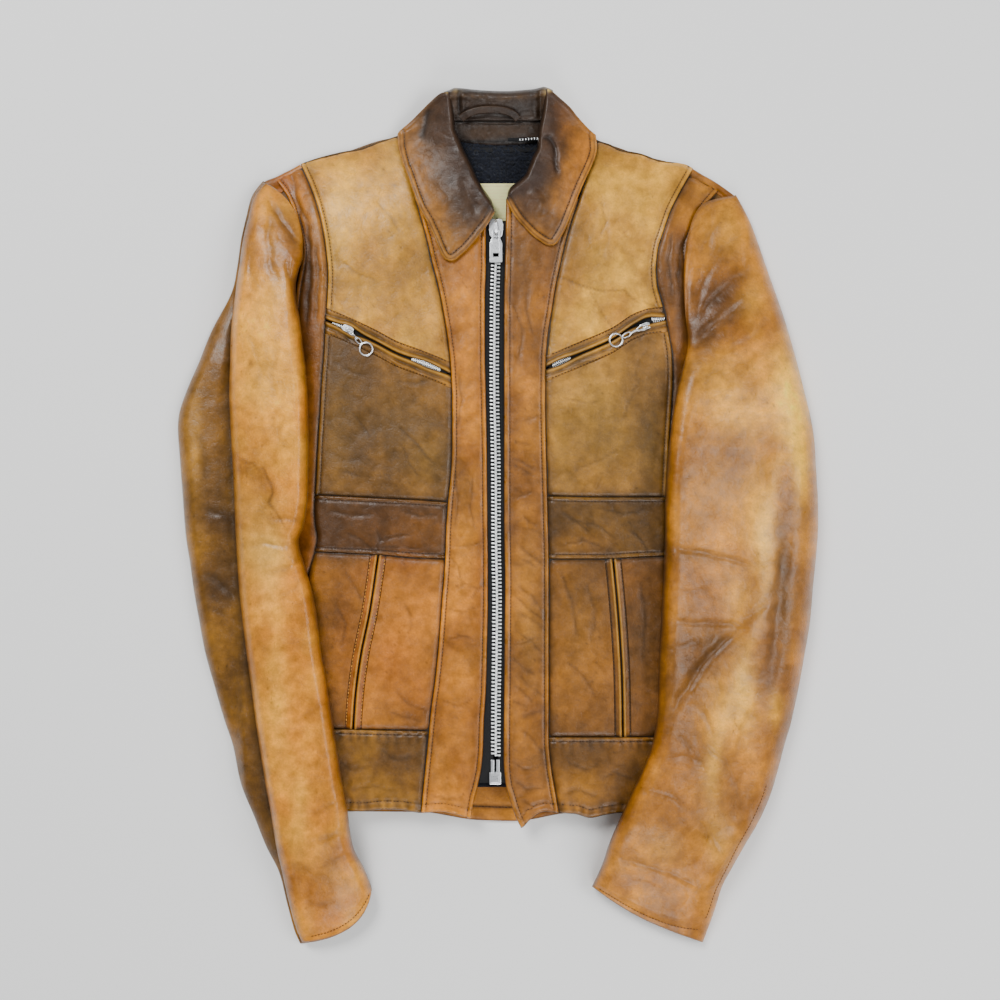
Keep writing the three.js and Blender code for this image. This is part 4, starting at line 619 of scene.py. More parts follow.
# (801,468), (796,430), (764,540), (744,690) and (712,770) are painted highlights on the ridge, and (700,556) is painted
# shade along the elbow crease
SP_L_TONE_HIGHLIGHT_SHADE += [(801,468,8,40,(250,198,92),.55),(775,705,7,16,(224,164,66),.45),(706,236,14,30,(160,112,62),.45),(752,300,16,20,(206,154,84),.5),(700,368,24,14,(190,136,74),.5),(740,420,30,20,(214,160,88),.5),(796,430,10,30,(244,198,110),.6),(700,500,24,30,(190,134,74),.45),(764,540,12,40,(226,184,134),.55),(700,556,30,8,(130,88,46),.5),(740,600,16,24,(206,152,88),.5),(744,690,12,40,(232,186,122),.6),(712,770,10,40,(226,176,112),.5),(690,740,14,20,(140,92,44),.5),(744,800,16,20,(150,98,44),.5),(664,850,20,16,(206,152,84),.4),(720,840,14,30,(214,164,100),.45),(622,868,14,10,(200,140,70),.4)]
def loft(B, rings, C, W=None, mat=0):
    nv, nu = rings.shape[:2]
    B.add(rings.reshape(-1, 3), gridfaces(nv, nu, False, True), C.reshape(-1, 3), 0 if W is None else W.ravel(), mat)

# photo-left sleeve (wearer's right): a flattened upper layer folded over a lower one
I_ = [(303,247),(303,258),(299,270),(296,285),(297,302),(300,320),(303,345),(306,370),(308,395),(309,420),(309,460),(308,500),(304,526),(299,541),(304,562),(312,590),(317,615),(321,650),(327,685),(332,715),(336,742),(342,780),(347,806),(350,830),(354,849),(363,866),(369,880),(372,889)]
F_ = [(265.5,183.6),(254,198),(248,219),(243,240),(239,268),(235,295),(231,330),(230,362),(229,393),(230,420),(232,460),(234,500),(235,527),(236,543),(237,562),(239,590),(242,617),(246,651),(251,686),(255,717),(259,744),(265,782),(271,815),(276,846),(282,872),(289,903),(296,928),(302,942)]
O_ = [(263,181),(252,196),(246,218),(241,240),(237,268),(231,294),(212,330),(199,362),(185,395),(178,422),(180,461),(183,501),(185,528),(187,545),(190,563),(194,592),(199,620),(205,652),(215,688),(224,719),(233,746),(241,784),(254,816),(266,846),(279,872),(287,903),(294,929),(300,943)]
M_off = [(9,-7),(7,-5),(5,-3),(3,-1),(1,0)] + [(0,0)]*19 + [(2,1),(6,3),(10,7),(14,11)]
nst = len(I_)
def ringsR(T, B):
    I, F, O, Mo = cr(I_, T), cr(F_, T), cr(O_, T), cr(M_off, T)
    nA, nL, nU = 74, 34, 40
    pe = np.concatenate([[0, .006, .014, .026, .042, .062, .086], np.linspace(.115, .885, nA - 14), 1 - np.array([.086, .062, .042, .026, .014, .006, 0])])
    Wd = np.linalg.norm(F - I, axis=1)[:, None]; p = pe[None]
    bow = 4 * p * (1 - p)
    U = I[:, :1] * (1 - p) + F[:, :1] * p + bow * Mo[:, :1]; V = I[:, 1:] * (1 - p) + F[:, 1:] * p + bow * Mo[:, 1:]
    crown = np.interp(T, [0, 1, 2, 4, 6, 9, 13, 17, 21, 23, 25, 27], [3, 12, 19, 25, 29, 30, 29, 28, 27, 25, 21, 13])[:, None]
    zi = sleeveUnder(I[:, 0], I[:, 1])[:, None] + 2.2; zo = sleeveUnder(F[:, 0], F[:, 1])[:, None] + 2.2
    lowh = np.interp(T, [0, 5, 7, 12, 20, 24, 27], [1.5, 3, 13, 14, 12, 7, 2])[:, None]
    fi = np.sqrt(1 - (1 - np.clip(p * Wd / 15, 0, 1)) ** 2); fo = np.sqrt(1 - (1 - np.clip((1 - p) * Wd / 9, 0, 1)) ** 2)
    zF = lowh + 3.0
    ze = zi * (1 - p) + (zo + zF) * p
    zt = ze * 1.0 + (crown - p * zF * 0.9) * fi * fo + 2.2 * np.sin(np.pi * p) 
    zt = zt + s_relief("r", U, V) * fi * fo * 1.0
    endd = (nst - 1 - T)[:, None]
    ec = np.interp(T, [0, 26.2, 26.62, 26.9, 27], [0, 0, -0.9, 0.5, 0.0])[:, None]
    zt = zt + ec * fi * fo
    # lower layer, from under the fold to the outer edge
    q = np.concatenate([[0], np.linspace(0.02, 0.86, nL - 6), 1 - np.array([.10, .06, .03, .012, 0])])[None]
    WL = np.linalg.norm(O - F, axis=1)[:, None]
    ins = np.minimum(6.0, Wd * 0.1)
    dirv = (F - I) / Wd
    Us = F[:, :1] - dirv[:, :1] * ins; Vs = F[:, 1:] - dirv[:, 1:] * ins
    UL = Us * (1 - q) + O[:, :1] * q; VL = Vs * (1 - q) + O[:, 1:] * q
    rq = np.sqrt(1 - (1 - np.clip((1 - q) * np.maximum(WL, 3) / 11, 0, 1)) ** 2)
    zb = sleeveUnder(UL, VL)
    zl = zb + 1.0 + lowh * rq * (0.72 + 0.28 * sm(q * 2.4)) + s_relief("r", UL, VL) * rq * np.clip(WL / 20, 0, 1)
    zl = np.minimum(zl, zt[:, -1:] - 0.6)
    # underside
    r = np.linspace(0, 1, nU + 2)[1:-1][None]
    UU = O[:, :1] * (1 - r) + I[:, :1] * r + 4 * r * (1 - r) * Mo[:, :1]; VU = O[:, 1:] * (1 - r) + I[:, 1:] * r + 4 * r * (1 - r) * Mo[:, 1:]
    zu = sleeveUnder(UU, VU) + 0.25
    Ua, Va, Za = np.concatenate([U, UL, UU], 1), np.concatenate([V, VL, VU], 1), np.concatenate([zt, zl, zu], 1)
    # top layer darkened in the folds and along both long edges where it rolls down: painted shade
    C1 = tone(U, V, "sleeve_r", SP_R_TONE_HIGHLIGHT_SHADE) * (1 - 0.22 * s_painted_crease_shade("r", U, V))[..., None] * (1 - 0.20 * gauss((1 - p) * Wd, 2.2) - 0.25 * gauss(p * Wd, 3.0))[..., None]
    C1 = mix(C1, (176,128,86), 0.35 * sm((V - 478 - 22 * noise(U / 26, V / 30, 141)) / 30) * (1 - sm((V - 560) / 60)) * gauss(U - 255, 26))
    # lower layer darkened in its folds and just under the overhanging fold edge: painted shade and painted shadow
    C2 = tone(UL, VL, "under_r", SP_RL_TONE_AND_SHADE) * (1 - 0.24 * s_painted_crease_shade("r", UL, VL))[..., None] * (1 - 0.45 * np.clip((WL - 4) / 14, 0, 1) * gauss(q * WL, 7))[..., None]
    C3 = tone(UU, VU, "under_r", SP_RL_TONE_AND_SHADE)
    st_ = [(238,456),(246,462),(253,463),(258,470),(263,468),(270,482),(272,493),(268,503),(274,511),(282,520),(287,531)]
    C1 = C1 * (1 - 0.17 * crease(U, V, st_, 1.5, 0.1) - 0.12 * crease(U, V, [(a_ - 4, b_ + 7) for a_, b_ in st_], 6, 0.2))[..., None]
    cuffw = gauss((27 - T)[:, None], 0.09)
    C1 = mix(C1, (150,100,58), 0.6 * cuffw * np.ones_like(U))
    return Ua, Va, Za, np.concatenate([C1, C2, C3], 1), (U, V, zt, p)
def finish_cuff(B, Ua, Va, Za, n_top):
    """turn the end of the tube in by its thickness and line it"""
    u, v, z = Ua[-1], Va[-1], Za[-1]
    uc, vc = u.mean(), v.mean(); zm = 0.5 * (z[:n_top].max() + z.min())
    du, dv = Ua[-1] - Ua[-6], Va[-1] - Va[-6]
    L = np.hypot(du, dv) + 1e-9; du, dv = du / L, dv / L
    # the rings darken from (150,100,52) to (30,22,18) going into the tube: painted shade inside the cuff opening
    rings, cols = [(u, v, z)], [(150,100,52)]
    for (back, s, dz, c) in ((-0.6, 0.995, 0.6, (150,100,52)), (0.2, 0.985, 1.3, (120,80,44)), (3, 0.975, 1.7, (92,60,36)), (16, 0.93, 2.2, (60,40,28)), (34, 0.84, 3.0, (30,22,18))):
        uu = uc + (u - uc) * s - du * back; vv = vc + (v - vc) * s - dv * back
        zz = np.where(z > zm, np.maximum(z - dz, zm + 0.1), np.minimum(z + dz, zm - 0.1))
        rings.append((uu, vv, zz)); cols.append(c)
    R = np.stack([at(a, b, c) for a, b, c in rings]); C = np.stack([np.broadcast_to(np.array(c, float), R.shape[1:]) for c in cols])
    loft(B, R, C)

def fine_T(n, per, extra=()):
    t = np.linspace(0, n - 1, int((n - 1) * per) + 1)
    return np.unique(np.concatenate([t, np.array(extra)]))
B = Build()
T = fine_T(nst, 15, np.linspace(26, 27, 34))
Ua, Va, Za, Ca, (U1, V1, Z1, p1) = ringsR(T, B)
loft(B, at(Ua, Va, Za), Ca); finish_cuff(B, Ua, Va, Za, 74)
i6 = int(np.argmin(np.abs(T - 26.62)))
stitches(B, at(U1[i6], V1[i6], Z1[i6] + 0.35)[6:-6], colour=(92,58,32))
pv = at(221.6, 545.7, 12)
sleeve_r = B.obj("sleeve_r_leather", [M_SLEEVE, M_THREAD], None, ["upper_sleeve_r", "under_sleeve_r", "forearm_sleeve_r", "under_forearm_r"], slot="sleeve_leather",
    blend=("shell", "forearm_r", tuple(at(270, 505, 12)), tuple(at(262, 590, 12))))

# photo-right sleeve (wearer's left): one broad tube with a ridge down its outer side
ST = [[(689,345),(684,298),(686,248),(700,206.5),(736,195)],[(686,356),(696,322),(712,280),(729,243),(751,224)],[(683,366),(703,345),(729,314),(750,285),(768,272)],[(680,378),(712,362),(742,345),(768,330),(786,324)],[(676,394),(710,391),(743,387),(775,384),(803,386)],
 [(671,428),(706,428),(742,428),(778,428),(813,430)],[(667,465),(704,466),(741,466),(779,467),(816,468)],[(665,500),(703,501),(741,502),(780,502),(818,503)],[(665,530),(703,530),(741,530),(780,530),(818,530)],[(664,556),(702,557),(740,557),(778,557),(816,558)],
 [(663,586),(701,586),(738,587),(776,587),(813,588)],[(661,620),(698,620),(735,621),(773,621),(810,622)],[(659,655),(695,656),(731,656),(768,657),(804,658)],[(658,686),(693,687),(728,688),(763,689),(798,691)],[(657,717),(690,718),(724,720),(757,721),(791,723)],
 [(651,748),(685,748),(718,748),(752,747),(784,747)],[(643,769),(677,769),(711,769),(745,769),(778,770)],[(632,792),(667,793),(702,794),(737,795),(770,796)],[(621,816),(656,818),(691,820),(726,821),(759,821)],[(610,841),(644,845),(678,848),(712,849),(745,845)],
 [(603,862),(636,870),(669,876),(702,878),(732,868)],[(597,876),(628,889),(660,899),(692,903),(722,887)],[(594,882),(622,897),(652,911),(684,919),(714,912)],[(592,886),(616,903),(642,918),(672,931),(703,942)]]
ST = np.array(ST, float)
def ringsL(T):
    S = cr(ST, T)
    nA, nU = 120, 40
    pe = np.concatenate([[0, .004, .010, .018, .028, .040, .055], np.linspace(.072, .928, nA - 14), 1 - np.array([.055, .040, .028, .018, .010, .004, 0])])
    def across(p):
        w = np.linspace(0, 4, 5); t = p * 4
        return np.stack([cr(S[i], t) for i in range(len(T))])
    A = across(pe); U, V = A[..., 0], A[..., 1]; p = pe[None]
    Wd = np.linalg.norm(S[:, 4] - S[:, 0], axis=1)[:, None]
    crown = np.interp(T, [0, 1, 2, 3, 4, 6, 9, 12, 15, 18, 20, 22, 23], [2, 12, 19, 25, 29, 31, 30, 29, 28, 26, 23, 18, 13])[:, None]
    zi = sleeveUnder(U[:, 0], V[:, 0])[:, None] + 2.2; zo = sleeveUnder(U[:, -1], V[:, -1])[:, None] + 2.2
    fi = np.sqrt(1 - (1 - np.clip(p * Wd / 20, 0, 1)) ** 2); fo = np.sqrt(1 - (1 - np.clip((1 - p) * Wd / 26, 0, 1)) ** 2)
    head = sm(1 - T / 4)[:, None]
    fi = fi * (1 - head) + head * np.sqrt(1 - (1 - np.clip(p * Wd / 60, 0, 1)) ** 2)
    base = np.maximum(zi * (1 - p) + zo * p, 0)
    under = sleeveUnder(U, V)
    base = np.maximum(base, under + 1.5)
    ec = np.interp(T, [0, 22.2, 22.55, 22.9, 23], [0, 0, -0.9, 0.5, 0.0])[:, None]
    seam = np.interp(T, [0, 0.12, 0.25, 0.45, 1], [-0.6, 0.9, -0.4, 0.2, 0])[:, None]
    zt = base + crown * fi * fo + (s_relief("l", U, V) + ec) * fi * fo + seam
    r = np.linspace(0, 1, nU + 2)[1:-1]; Bm = across(1 - r); UU, VU = Bm[..., 0], Bm[..., 1]
    zu = sleeveUnder(UU, VU) + 0.25
    # darkened in the folds and along the inner edge: painted shade
    C1 = tone(U, V, "sleeve_l", SP_L_TONE_HIGHLIGHT_SHADE) * (1 - 0.15 * s_painted_crease_shade("l", U, V))[..., None] * (1 - 0.30 * gauss(p * Wd, 3.5))[..., None]
    # pale band along the outer ridge: painted highlight
    C1 = mix(C1, (226,176,110), 0.30 * crease(U, V, RIDGE["l"][0][0], 6.0, 0.2))
    C1 = mix(C1, (110,74,42), 0.5 * gauss(T[:, None], 0.10) * np.ones_like(U)); C1 = mix(C1, (150,100,54), 0.6 * gauss(23 - T[:, None], 0.08) * np.ones_like(U))
    C3 = tone(UU, VU, "sleeve_l", SP_L_TONE_HIGHLIGHT_SHADE)
    return np.concatenate([U, UU], 1), np.concatenate([V, VU], 1), np.concatenate([zt, zu], 1), np.concatenate([C1, C3], 1), (U, V, zt)
B = Build()
T = fine_T(len(ST), 17, np.concatenate([np.linspace(0, 0.6, 16), np.linspace(22, 23, 30)]))
Ua, Va, Za, Ca, (U1, V1, Z1) = ringsL(T)
loft(B, at(Ua, Va, Za), Ca); finish_cuff(B, Ua, Va, Za, 120)
i6 = int(np.argmin(np.abs(T - 22.55)))
stitches(B, at(U1[i6], V1[i6], Z1[i6] + 0.35)[8:-8], colour=(92,58,32))
j = 0
i7, i8 = int(np.argmin(np.abs(T - 16.6))), int(np.argmin(np.abs(T - 22.3)))
stitches(B, at(U1[i7:i8, -8], V1[i7:i8, -8], Z1[i7:i8, -8] + 0.3), colour=(92,58,32))
sleeve_l = B.obj("sleeve_l_leather", [M_SLEEVE, M_THREAD], None, ["upper_sleeve_l", "under_sleeve_l", "forearm_sleeve_l", "under_forearm_l"], slot="sleeve_leather",
    blend=("shell", "forearm_l", tuple(at(738, 550, 12)), tuple(at(738, 640, 12))))

# ------------------------------------------------------------------ collar
LEAF = {"r": dict(top=[(447,92),(440,93.5),(430,102),(420,112),(410,122),(400,130.5),(397.5,134)], outer=[(397.5,134),(398,145),(400,155),(403,165),(408,178),(414,195),(420,210),(427,222),(433,235),(438,247),(441,254),(445,259.5)],
   bottom=[(495,212),(493,216),(488,224),(482,232),(475,241),(467,250),(460,256),(455,260),(450,261),(445,259.5)], roll=[(447,92),(448,100),(449,108),(450,118),(451,130),(455,140),(459,150),(463,158),(468,168),(472,178),(477,187),(483,196),(488,203),(495,212)]),
 "l": dict(top=[(548,89),(553,92),(560,98),(570,107),(578,117),(588,128),(596,135)], outer=[(596,135),(597,148),(595,158),(590,170),(583,185),(577,200),(571,215),(566,228),(561,237),(557,243),(553.5,245.5)],
   bottom=[(506,200),(511,210),(517,219),(525,228),(533,236),(540,241),(547,245),(553.5,245.5)], roll=[(548,89),(548,97),(547,108),(545,120),(543,130),(542,140),(541,150),(537,158),(533,168),(529,177),(522,184),(514,190),(508,197),(506,200)])}
def arclen(pts, t):
    P = np.array(pts, float); s = np.concatenate([[0], np.cumsum(np.linalg.norm(np.diff(P, axis=0), axis=1))])
    x = np.interp(t * s[-1], s, np.arange(len(P))); return cr(P, x)
SP_C = [(410,150,12,26,(156,106,62),.6),(432,200,12,30,(158,108,62),.5),(446,240,12,16,(160,112,64),.5),(440,120,14,20,(84,58,44),.6),(458,175,16,34,(66,46,36),.75),(475,215,14,18,(72,50,38),.6),(440,160,12,24,(96,64,44),.5),
 (582,150,14,26,(176,112,58),.75),(572,190,14,26,(160,102,54),.6),(552,225,14,18,(96,64,44),.6),(556,160,8,28,(92,60,46),.6),(530,205,16,22,(84,56,42),.7),(560,110,12,16,(120,74,46),.6),(544,140,7,30,(88,62,50),.6),(566,130,10,18,(140,88,50),.5)]
def leaf_height(U, V, d_roll, d_edge, k):
    h = frontTop(U, V) + 4.2
    lift = 33.5 * np.exp(-np.clip(d_roll, 0, None) / 40.0)
    base = np.maximum(h, 0)
    z = base + (31.0 - base) * np.exp(-(np.clip(d_roll, 0, None) / 26.0) ** 1.4)
    return z
for k in "rl":
    lf = LEAF[k]; na, nb = 46, 96
    a = np.linspace(0, 1, na) ** 1.0; b = np.linspace(0, 1, nb)
    a = np.unique(np.concatenate([a, 1 - np.array([0, .006, .014, .024, .036, .05, .07, .09, .115])])); na = len(a)
    b = np.unique(np.concatenate([b, 1 - np.array([0, .004, .009, .016, .024, .034, .046, .06]), np.array([.004, .01, .018, .028, .04, .055])])); nb = len(b)
    A, Bb = np.meshgrid(a, b)
    Lp, Rp, Tp, Bp = arclen(lf["roll"], b), arclen(lf["outer"], b), arclen(lf["top"], a), arclen(lf["bottom"], a)
    c00, c10, c01, c11 = Tp[0], Tp[-1], Bp[0], Bp[-1]
    G = (1 - A)[..., None] * Lp[:, None] + A[..., None] * Rp[:, None] + (1 - Bb)[..., None] * Tp[None] + Bb[..., None] * Bp[None] - ((1 - A) * (1 - Bb))[..., None] * c00 - (A * (1 - Bb))[..., None] * c10 - ((1 - A) * Bb)[..., None] * c01 - (A * Bb)[..., None] * c11
    U, V = G[..., 0], G[..., 1]
    dr, _ = dpoly(U, V, lf["roll"]); de1, _ = dpoly(U, V, lf["outer"]); de2, _ = dpoly(U, V, lf["bottom"]); de3, _ = dpoly(U, V, lf["top"]); de = np.minimum(de1, de2)
    z = leaf_height(U, V, dr, de, k)
    rim = np.minimum(de, de3 + 1.0)
    z = z - 2.4 * (1 - np.sqrt(1 - (1 - np.clip(rim / 2.2, 0, 1)) ** 2)) + 0.55 * gauss(rim - 3.6, 1.8) - 0.7 * gauss(de - 6.6, 0.9) - 0.35 * gauss(de - 2.1, 0.45) + 0.5 * gauss(de - 11, 5)
    z = z + 0.7 * fbm(U / 30, V / 30, 301, 3) * sm(de / 6) - 0.35 * veins(U / 14, V / 14, 311, 0.12) * sm(0.5 + noise(U / 40, V / 40, 312)) * sm(de / 5)
    if k == "l":
        fc = crease(U, V, [(543,140),(548,137),(553,145),(555,155),(556,165),(557,177)], 2.6); z = z - 2.0 * fc + 1.0 * crease(U, V, [(549,128),(558,136),(562,150),(563,170)], 5)
        z = z + 1.2 * crease(U, V, [(530,190),(540,202),(543,216)], 5) - 1.0 * crease(U, V, [(536,186),(548,200),(550,216)], 3)
    else:
        fc = crease(U, V, [(430,108),(426,124),(420,140)], 2.6); z = z - 0.8 * fc
        z = z - 0.9 * crease(U, V, [(462,176),(468,196),(478,214)], 3) + 0.8 * crease(U, V, [(456,182),(462,204),(470,222)], 5)
    nn = 0.5 + 0.5 * fbm(U / 16, V / 16, 321, 3)
    t = sm(dr / np.maximum(dr + de, 1e-6) * 1.25 - 0.12 + 0.22 * fbm(U / 30, V / 30, 322, 3))
    C = np.array((54,37,30), float) * (1 - t[..., None]) + np.array((146,98,56) if k == 'r' else (170,114,62), float) * t[..., None]
    C = spots(C, U, V, SP_C) * (1 + 0.08 * fbm(U / 8, V / 8, 323, 3))[..., None]
    # darker in the stitch groove, the edge groove and the fold crease fc: painted shade; the ochre rim on the next line
    # is edge wear
    C = C * (1 - 0.28 * gauss(de - 6.6, 0.9) - 0.25 * gauss(de - 2.1, 0.5))[..., None] * (1 - 0.45 * fc)[..., None]
    C = mix(C, (204,150,92), (0.55 * gauss(rim - 0.5, 1.2) + 0.25 * gauss(de - 3.8, 1.4)) * np.clip(nn + 0.1, 0, 1))
    # pale spot at the top of the roll: painted highlight
    C = mix(C, (214,190,160), 0.8 * gauss(np.hypot(U - (448.5 if k == "r" else 548.5), V - (91.5 if k == "r" else 90)), 2.8))
    B = Build()
    # inner turn over the roll line, down into the neck
    tan = np.gradient(Lp, axis=0); tan /= np.linalg.norm(tan, axis=1)[:, None] + 1e-9
    inn = np.stack([tan[:, 1], -tan[:, 0]], 1) * (-1 if k == "l" else 1)
    tr_ = sm((1 - b) / 0.10)[:, None]
    zr = z[:, :1]
    offs = np.array([4.6, 4.3, 3.8, 3.1, 2.2, 1.1]); drops = np.array([17.0, 11.0, 6.5, 3.6, 1.7, 0.5])
    if k == "r": pass
    sgn = 1
    Ui = Lp[:, :1] + inn[:, :1] * offs[None] * sgn * tr_; Vi = Lp[:, 1:] + inn[:, 1:] * offs[None] * sgn * tr_
    Zi = np.maximum(zr - drops[None] * (0.15 + 0.85 * tr_), 9)
    UU, VV, ZZ = np.concatenate([Ui, U], 1), np.concatenate([Vi, V], 1), np.concatenate([Zi, z], 1)
    Ci = np.broadcast_to(np.array((70,50,40), float), Ui.shape + (3,)) * (1 - 0.5 * np.linspace(1, 0, 6)[None, :, None])
    CC = np.concatenate([Ci, C], 1)
    Zb = np.maximum(ZZ - 2.8, np.concatenate([np.full_like(Zi, 6.5), frontTop(U, V) + 0.8], 1)); Zb = np.minimum(Zb, ZZ - 0.3)
    top, bot = at(UU, VV, ZZ), at(UU, VV, Zb)
    if k == "l": slabmesh(B, top, bot, CC)
    else: slabmesh(B, top[:, ::-1], bot[:, ::-1], CC[:, ::-1])
    # topstitch round the leaf
    path = np.concatenate([lf["outer"], lf["bottom"][::-1][1:]]); tt = np.linspace(0.015, 0.975, 900); q = arclen(path, tt)
    tg = np.gradient(q, axis=0); tg /= np.linalg.norm(tg, axis=1)[:, None]; nrm = np.stack([tg[:, 1], -tg[:, 0]], 1) * (1 if k == "r" else -1)
    q = q + nrm * 6.6
    drq, _ = dpoly(q[:, 0], q[:, 1], lf["roll"]); keep = drq > 5
    q = q[keep]; drq = drq[keep]
    stitches(B, at(q[:, 0], q[:, 1], leaf_height(q[:, 0], q[:, 1], drq, 6.6, k) - 0.15 + 0.7 * fbm(q[:, 0] / 30, q[:, 1] / 30, 301, 3)), colour=(66,42,26))
    a0 = np.array(at(451, 93, 31) if k == "r" else at(545.5, 93, 31)); a1 = np.array(at(492, 209, 28.5) if k == "r" else at(508, 199, 28.5))
    mid = 0.5 * (a0 + a1); d = (a1 - a0) / np.linalg.norm(a1 - a0); outv = np.cross(d, [0, 0, 1.0]) * (1 if k == "l" else -1)
    if (outv[0] < 0) != (k == "r"): outv = -outv
    B.obj("collar_leaf_" + k + "_leather", [M_DARK, M_THREAD], None, ["collar_leaf_" + k], slot="collar_leather", blend=("shell", "collar_leaf_" + k, tuple(mid + outv * 0.003), tuple(mid + outv * 0.020)))

# neck: stand inside, turned over the top and down the back
B = Build()
nu = 110; uu = np.linspace(0, 1, nu)
topc = byU([[444,93.5],[449,92],[455,89.6],[462,90],[475,91.4],[490,92.4],[505,92.8],[520,92],[535,90.6],[544,88.6],[549,90],[553,92]])
prof = [(-3.2,1.5),(-3.4,6),(-3.4,12),(-3.3,18),(-2.8,23),(-1.6,26.6),(0,28.4),(2.2,29.4),(4.4,29.2),(6.6,28.0),(9,26.5),(13,24.6),(17,22.7),(21,20.9),(25,19.1),(28,17.8),(29.5,17.6),(31,16.2),(34,15.2),(38,13.6),(42,12.0),(46,10.4),(49,9.4),(51,8.0)]
prof = np.array(prof); pu = cr(prof, np.linspace(0, len(prof) - 1, 90))
Ug = np.broadcast_to(444 + 109 * uu[None], (90, nu)).copy(); narrow = np.clip((pu[:, 0] - 6) / 45, 0, 1)[:, None]
Ug = Ug + (498 - Ug) * 0.10 * narrow
Vg = topc(np.broadcast_to(444 + 109 * uu[None], (90, nu))) + 1.6 + pu[:, :1] * np.ones((1, nu))
wf = lambda c, w: gauss(Ug - c, w)
rel = -1.6 * wf(459, 1.8) * sm((118 - Vg) / 10) + 0.9 * wf(463.5, 2.6) * sm((118 - Vg) / 10) - 1.4 * wf(540, 2.0) * sm((122 - Vg) / 10) + 0.9 * wf(535, 3) * sm((122 - Vg) / 10) + 0.5 * fbm(Ug / 12, Vg / 10, 401, 3) + 0.5 * fbm(Ug / 40, Vg / 14, 402, 2)
rel = rel * sm((pu[:, 0] + 2.0) / 4)[:, None] + 1.0 * gauss(Vg - 119.5, 1.4) - 0.8 * gauss(Vg - 122.2, 1.0)
Zg = pu[:, 1:] * np.ones((1, nu)) + rel
# the pale spots at (548,92) and (457,90) are painted highlights at the collar points
Cg = tone(Ug, Vg, "stand", [(500,100,40,8,(74,54,42),.5),(500,131,40,8,(84,62,48),.6),(455,100,6,16,(92,66,50),.6),(545,100,8,16,(104,70,46),.5),(548,92,5,5,(206,186,158),.7),(457,90,4,3,(206,186,158),.6)])
# darker along the groove at V 121.8, along V 141.5 near the lower end of the stand and in the crease at u 459: painted
# shade
Cg = Cg * (1 - 0.5 * gauss(Vg - 121.8, 1.2) - 0.5 * gauss(Vg - 141.5, 1.6))[..., None] * (1 - 0.5 * wf(459, 2.2) * sm((118 - Vg) / 10))[..., None]
Cg = mix(Cg, (120,86,60), 0.45 * gauss(pu[:, :1] - 3.0, 3.0) * np.clip(0.4 + fbm(Ug / 14, Vg / 14, 403, 3), 0, 1))
slabmesh(B, at(Ug, Vg, Zg), at(Ug, Vg + np.where(pu[:, :1] < 2, 2.0, 0), np.maximum(Zg - 1.6, 1.0)), Cg)
stitches(B, at(np.linspace(455, 541, 300), np.full(300, 124.4), np.full(300, 19.6)), colour=(40,28,22))
# outer fall on both sides, along the shoulder
fall = np.array([(405,130.5),(412,125),(420,119),(428,112.5),(435,106),(441,99),(447,94.5),(452,92.5)], float)
for side in (0, 1):
    f = fall if side == 0 else np.stack([996 - fall[:, 0] - 0.5, fall[:, 1] + 1.0], 1)[::-1]
    q = cr(f, np.linspace(0, len(f) - 1, 60)); tp = np.interp(np.minimum(q[:, 0] - 400, 596 - q[:, 0]), [0, 15, 30, 50], [6.5, 11, 18, 27])
    hh = np.linspace(0, 1, 12)[:, None]
    Uf = q[None, :, 0] * np.ones((12, 1)); Vf = q[None, :, 1] + 0.6 * np.sin(hh * 3); Zf = 1.4 + (tp[None] - 1.4) * (1 - hh)
    Cf = tone(Uf, Vf + Zf, "collar", SP_C)
    tg = np.gradient(q, axis=0); tg /= np.linalg.norm(tg, axis=1)[:, None]; nn_ = np.stack([-tg[:, 1], tg[:, 0]], 1) * 2.0
    Uo, Vo = Uf + nn_[None, :, 0], Vf + nn_[None, :, 1]
    slabmesh(B, at(Uf, Vf, Zf), at(Uo, Vo, Zf), Cf)
B.obj("collar_neck_leather", [M_DARK, M_THREAD], "shell", ["collar_stand", "collar_back_fall"], slot="collar_leather")
# hanger loop
B = Build()
lp = cr(np.array([(461,119),(465,115.4),(471,112.6),(479,110.4),(489,109.6),(499,110.0),(508,112),(514,115),(518,119.5)], float), np.linspace(0, 8, 80))
aa = np.linspace(-1, 1, 11)[None]; tg = np.gradient(lp, axis=0); tg /= np.linalg.norm(tg, axis=1)[:, None]; nr = np.stack([-tg[:, 1], tg[:, 0]], 1)
Ul = lp[:, :1] + nr[:, :1] * aa * 3.7; Vl = lp[:, 1:] + nr[:, 1:] * aa * 3.7
zs = np.interp(Vl, [90, 95, 100, 108, 112, 116, 120, 124], [31, 29.5, 27.6, 24.4, 22.8, 21.2, 20.0, 18.8]) + 2.6 + 0.8 * (1 - aa ** 4) - 1.2 * sm((np.abs(lp[:, :1] - 490) - 22) / 6) + 0.5 * gauss(np.abs(aa) - 0.72, 0.14)
Cl = tone(Ul, Vl, "stand", []) * 1.15; Cl = mix(Cl, (112,82,60), 0.35 * gauss(np.abs(aa) - 0.95, 0.12) * np.ones_like(Ul))
slabmesh(B, at(Ul, Vl, zs)[:, ::-1], at(Ul, Vl, zs - 1.7)[:, ::-1], Cl[:, ::-1])
B.obj("hanger_loop_leather", [M_DARK, M_THREAD], "hanger_loop", ["hanger_loop"], slot="dark_leather")

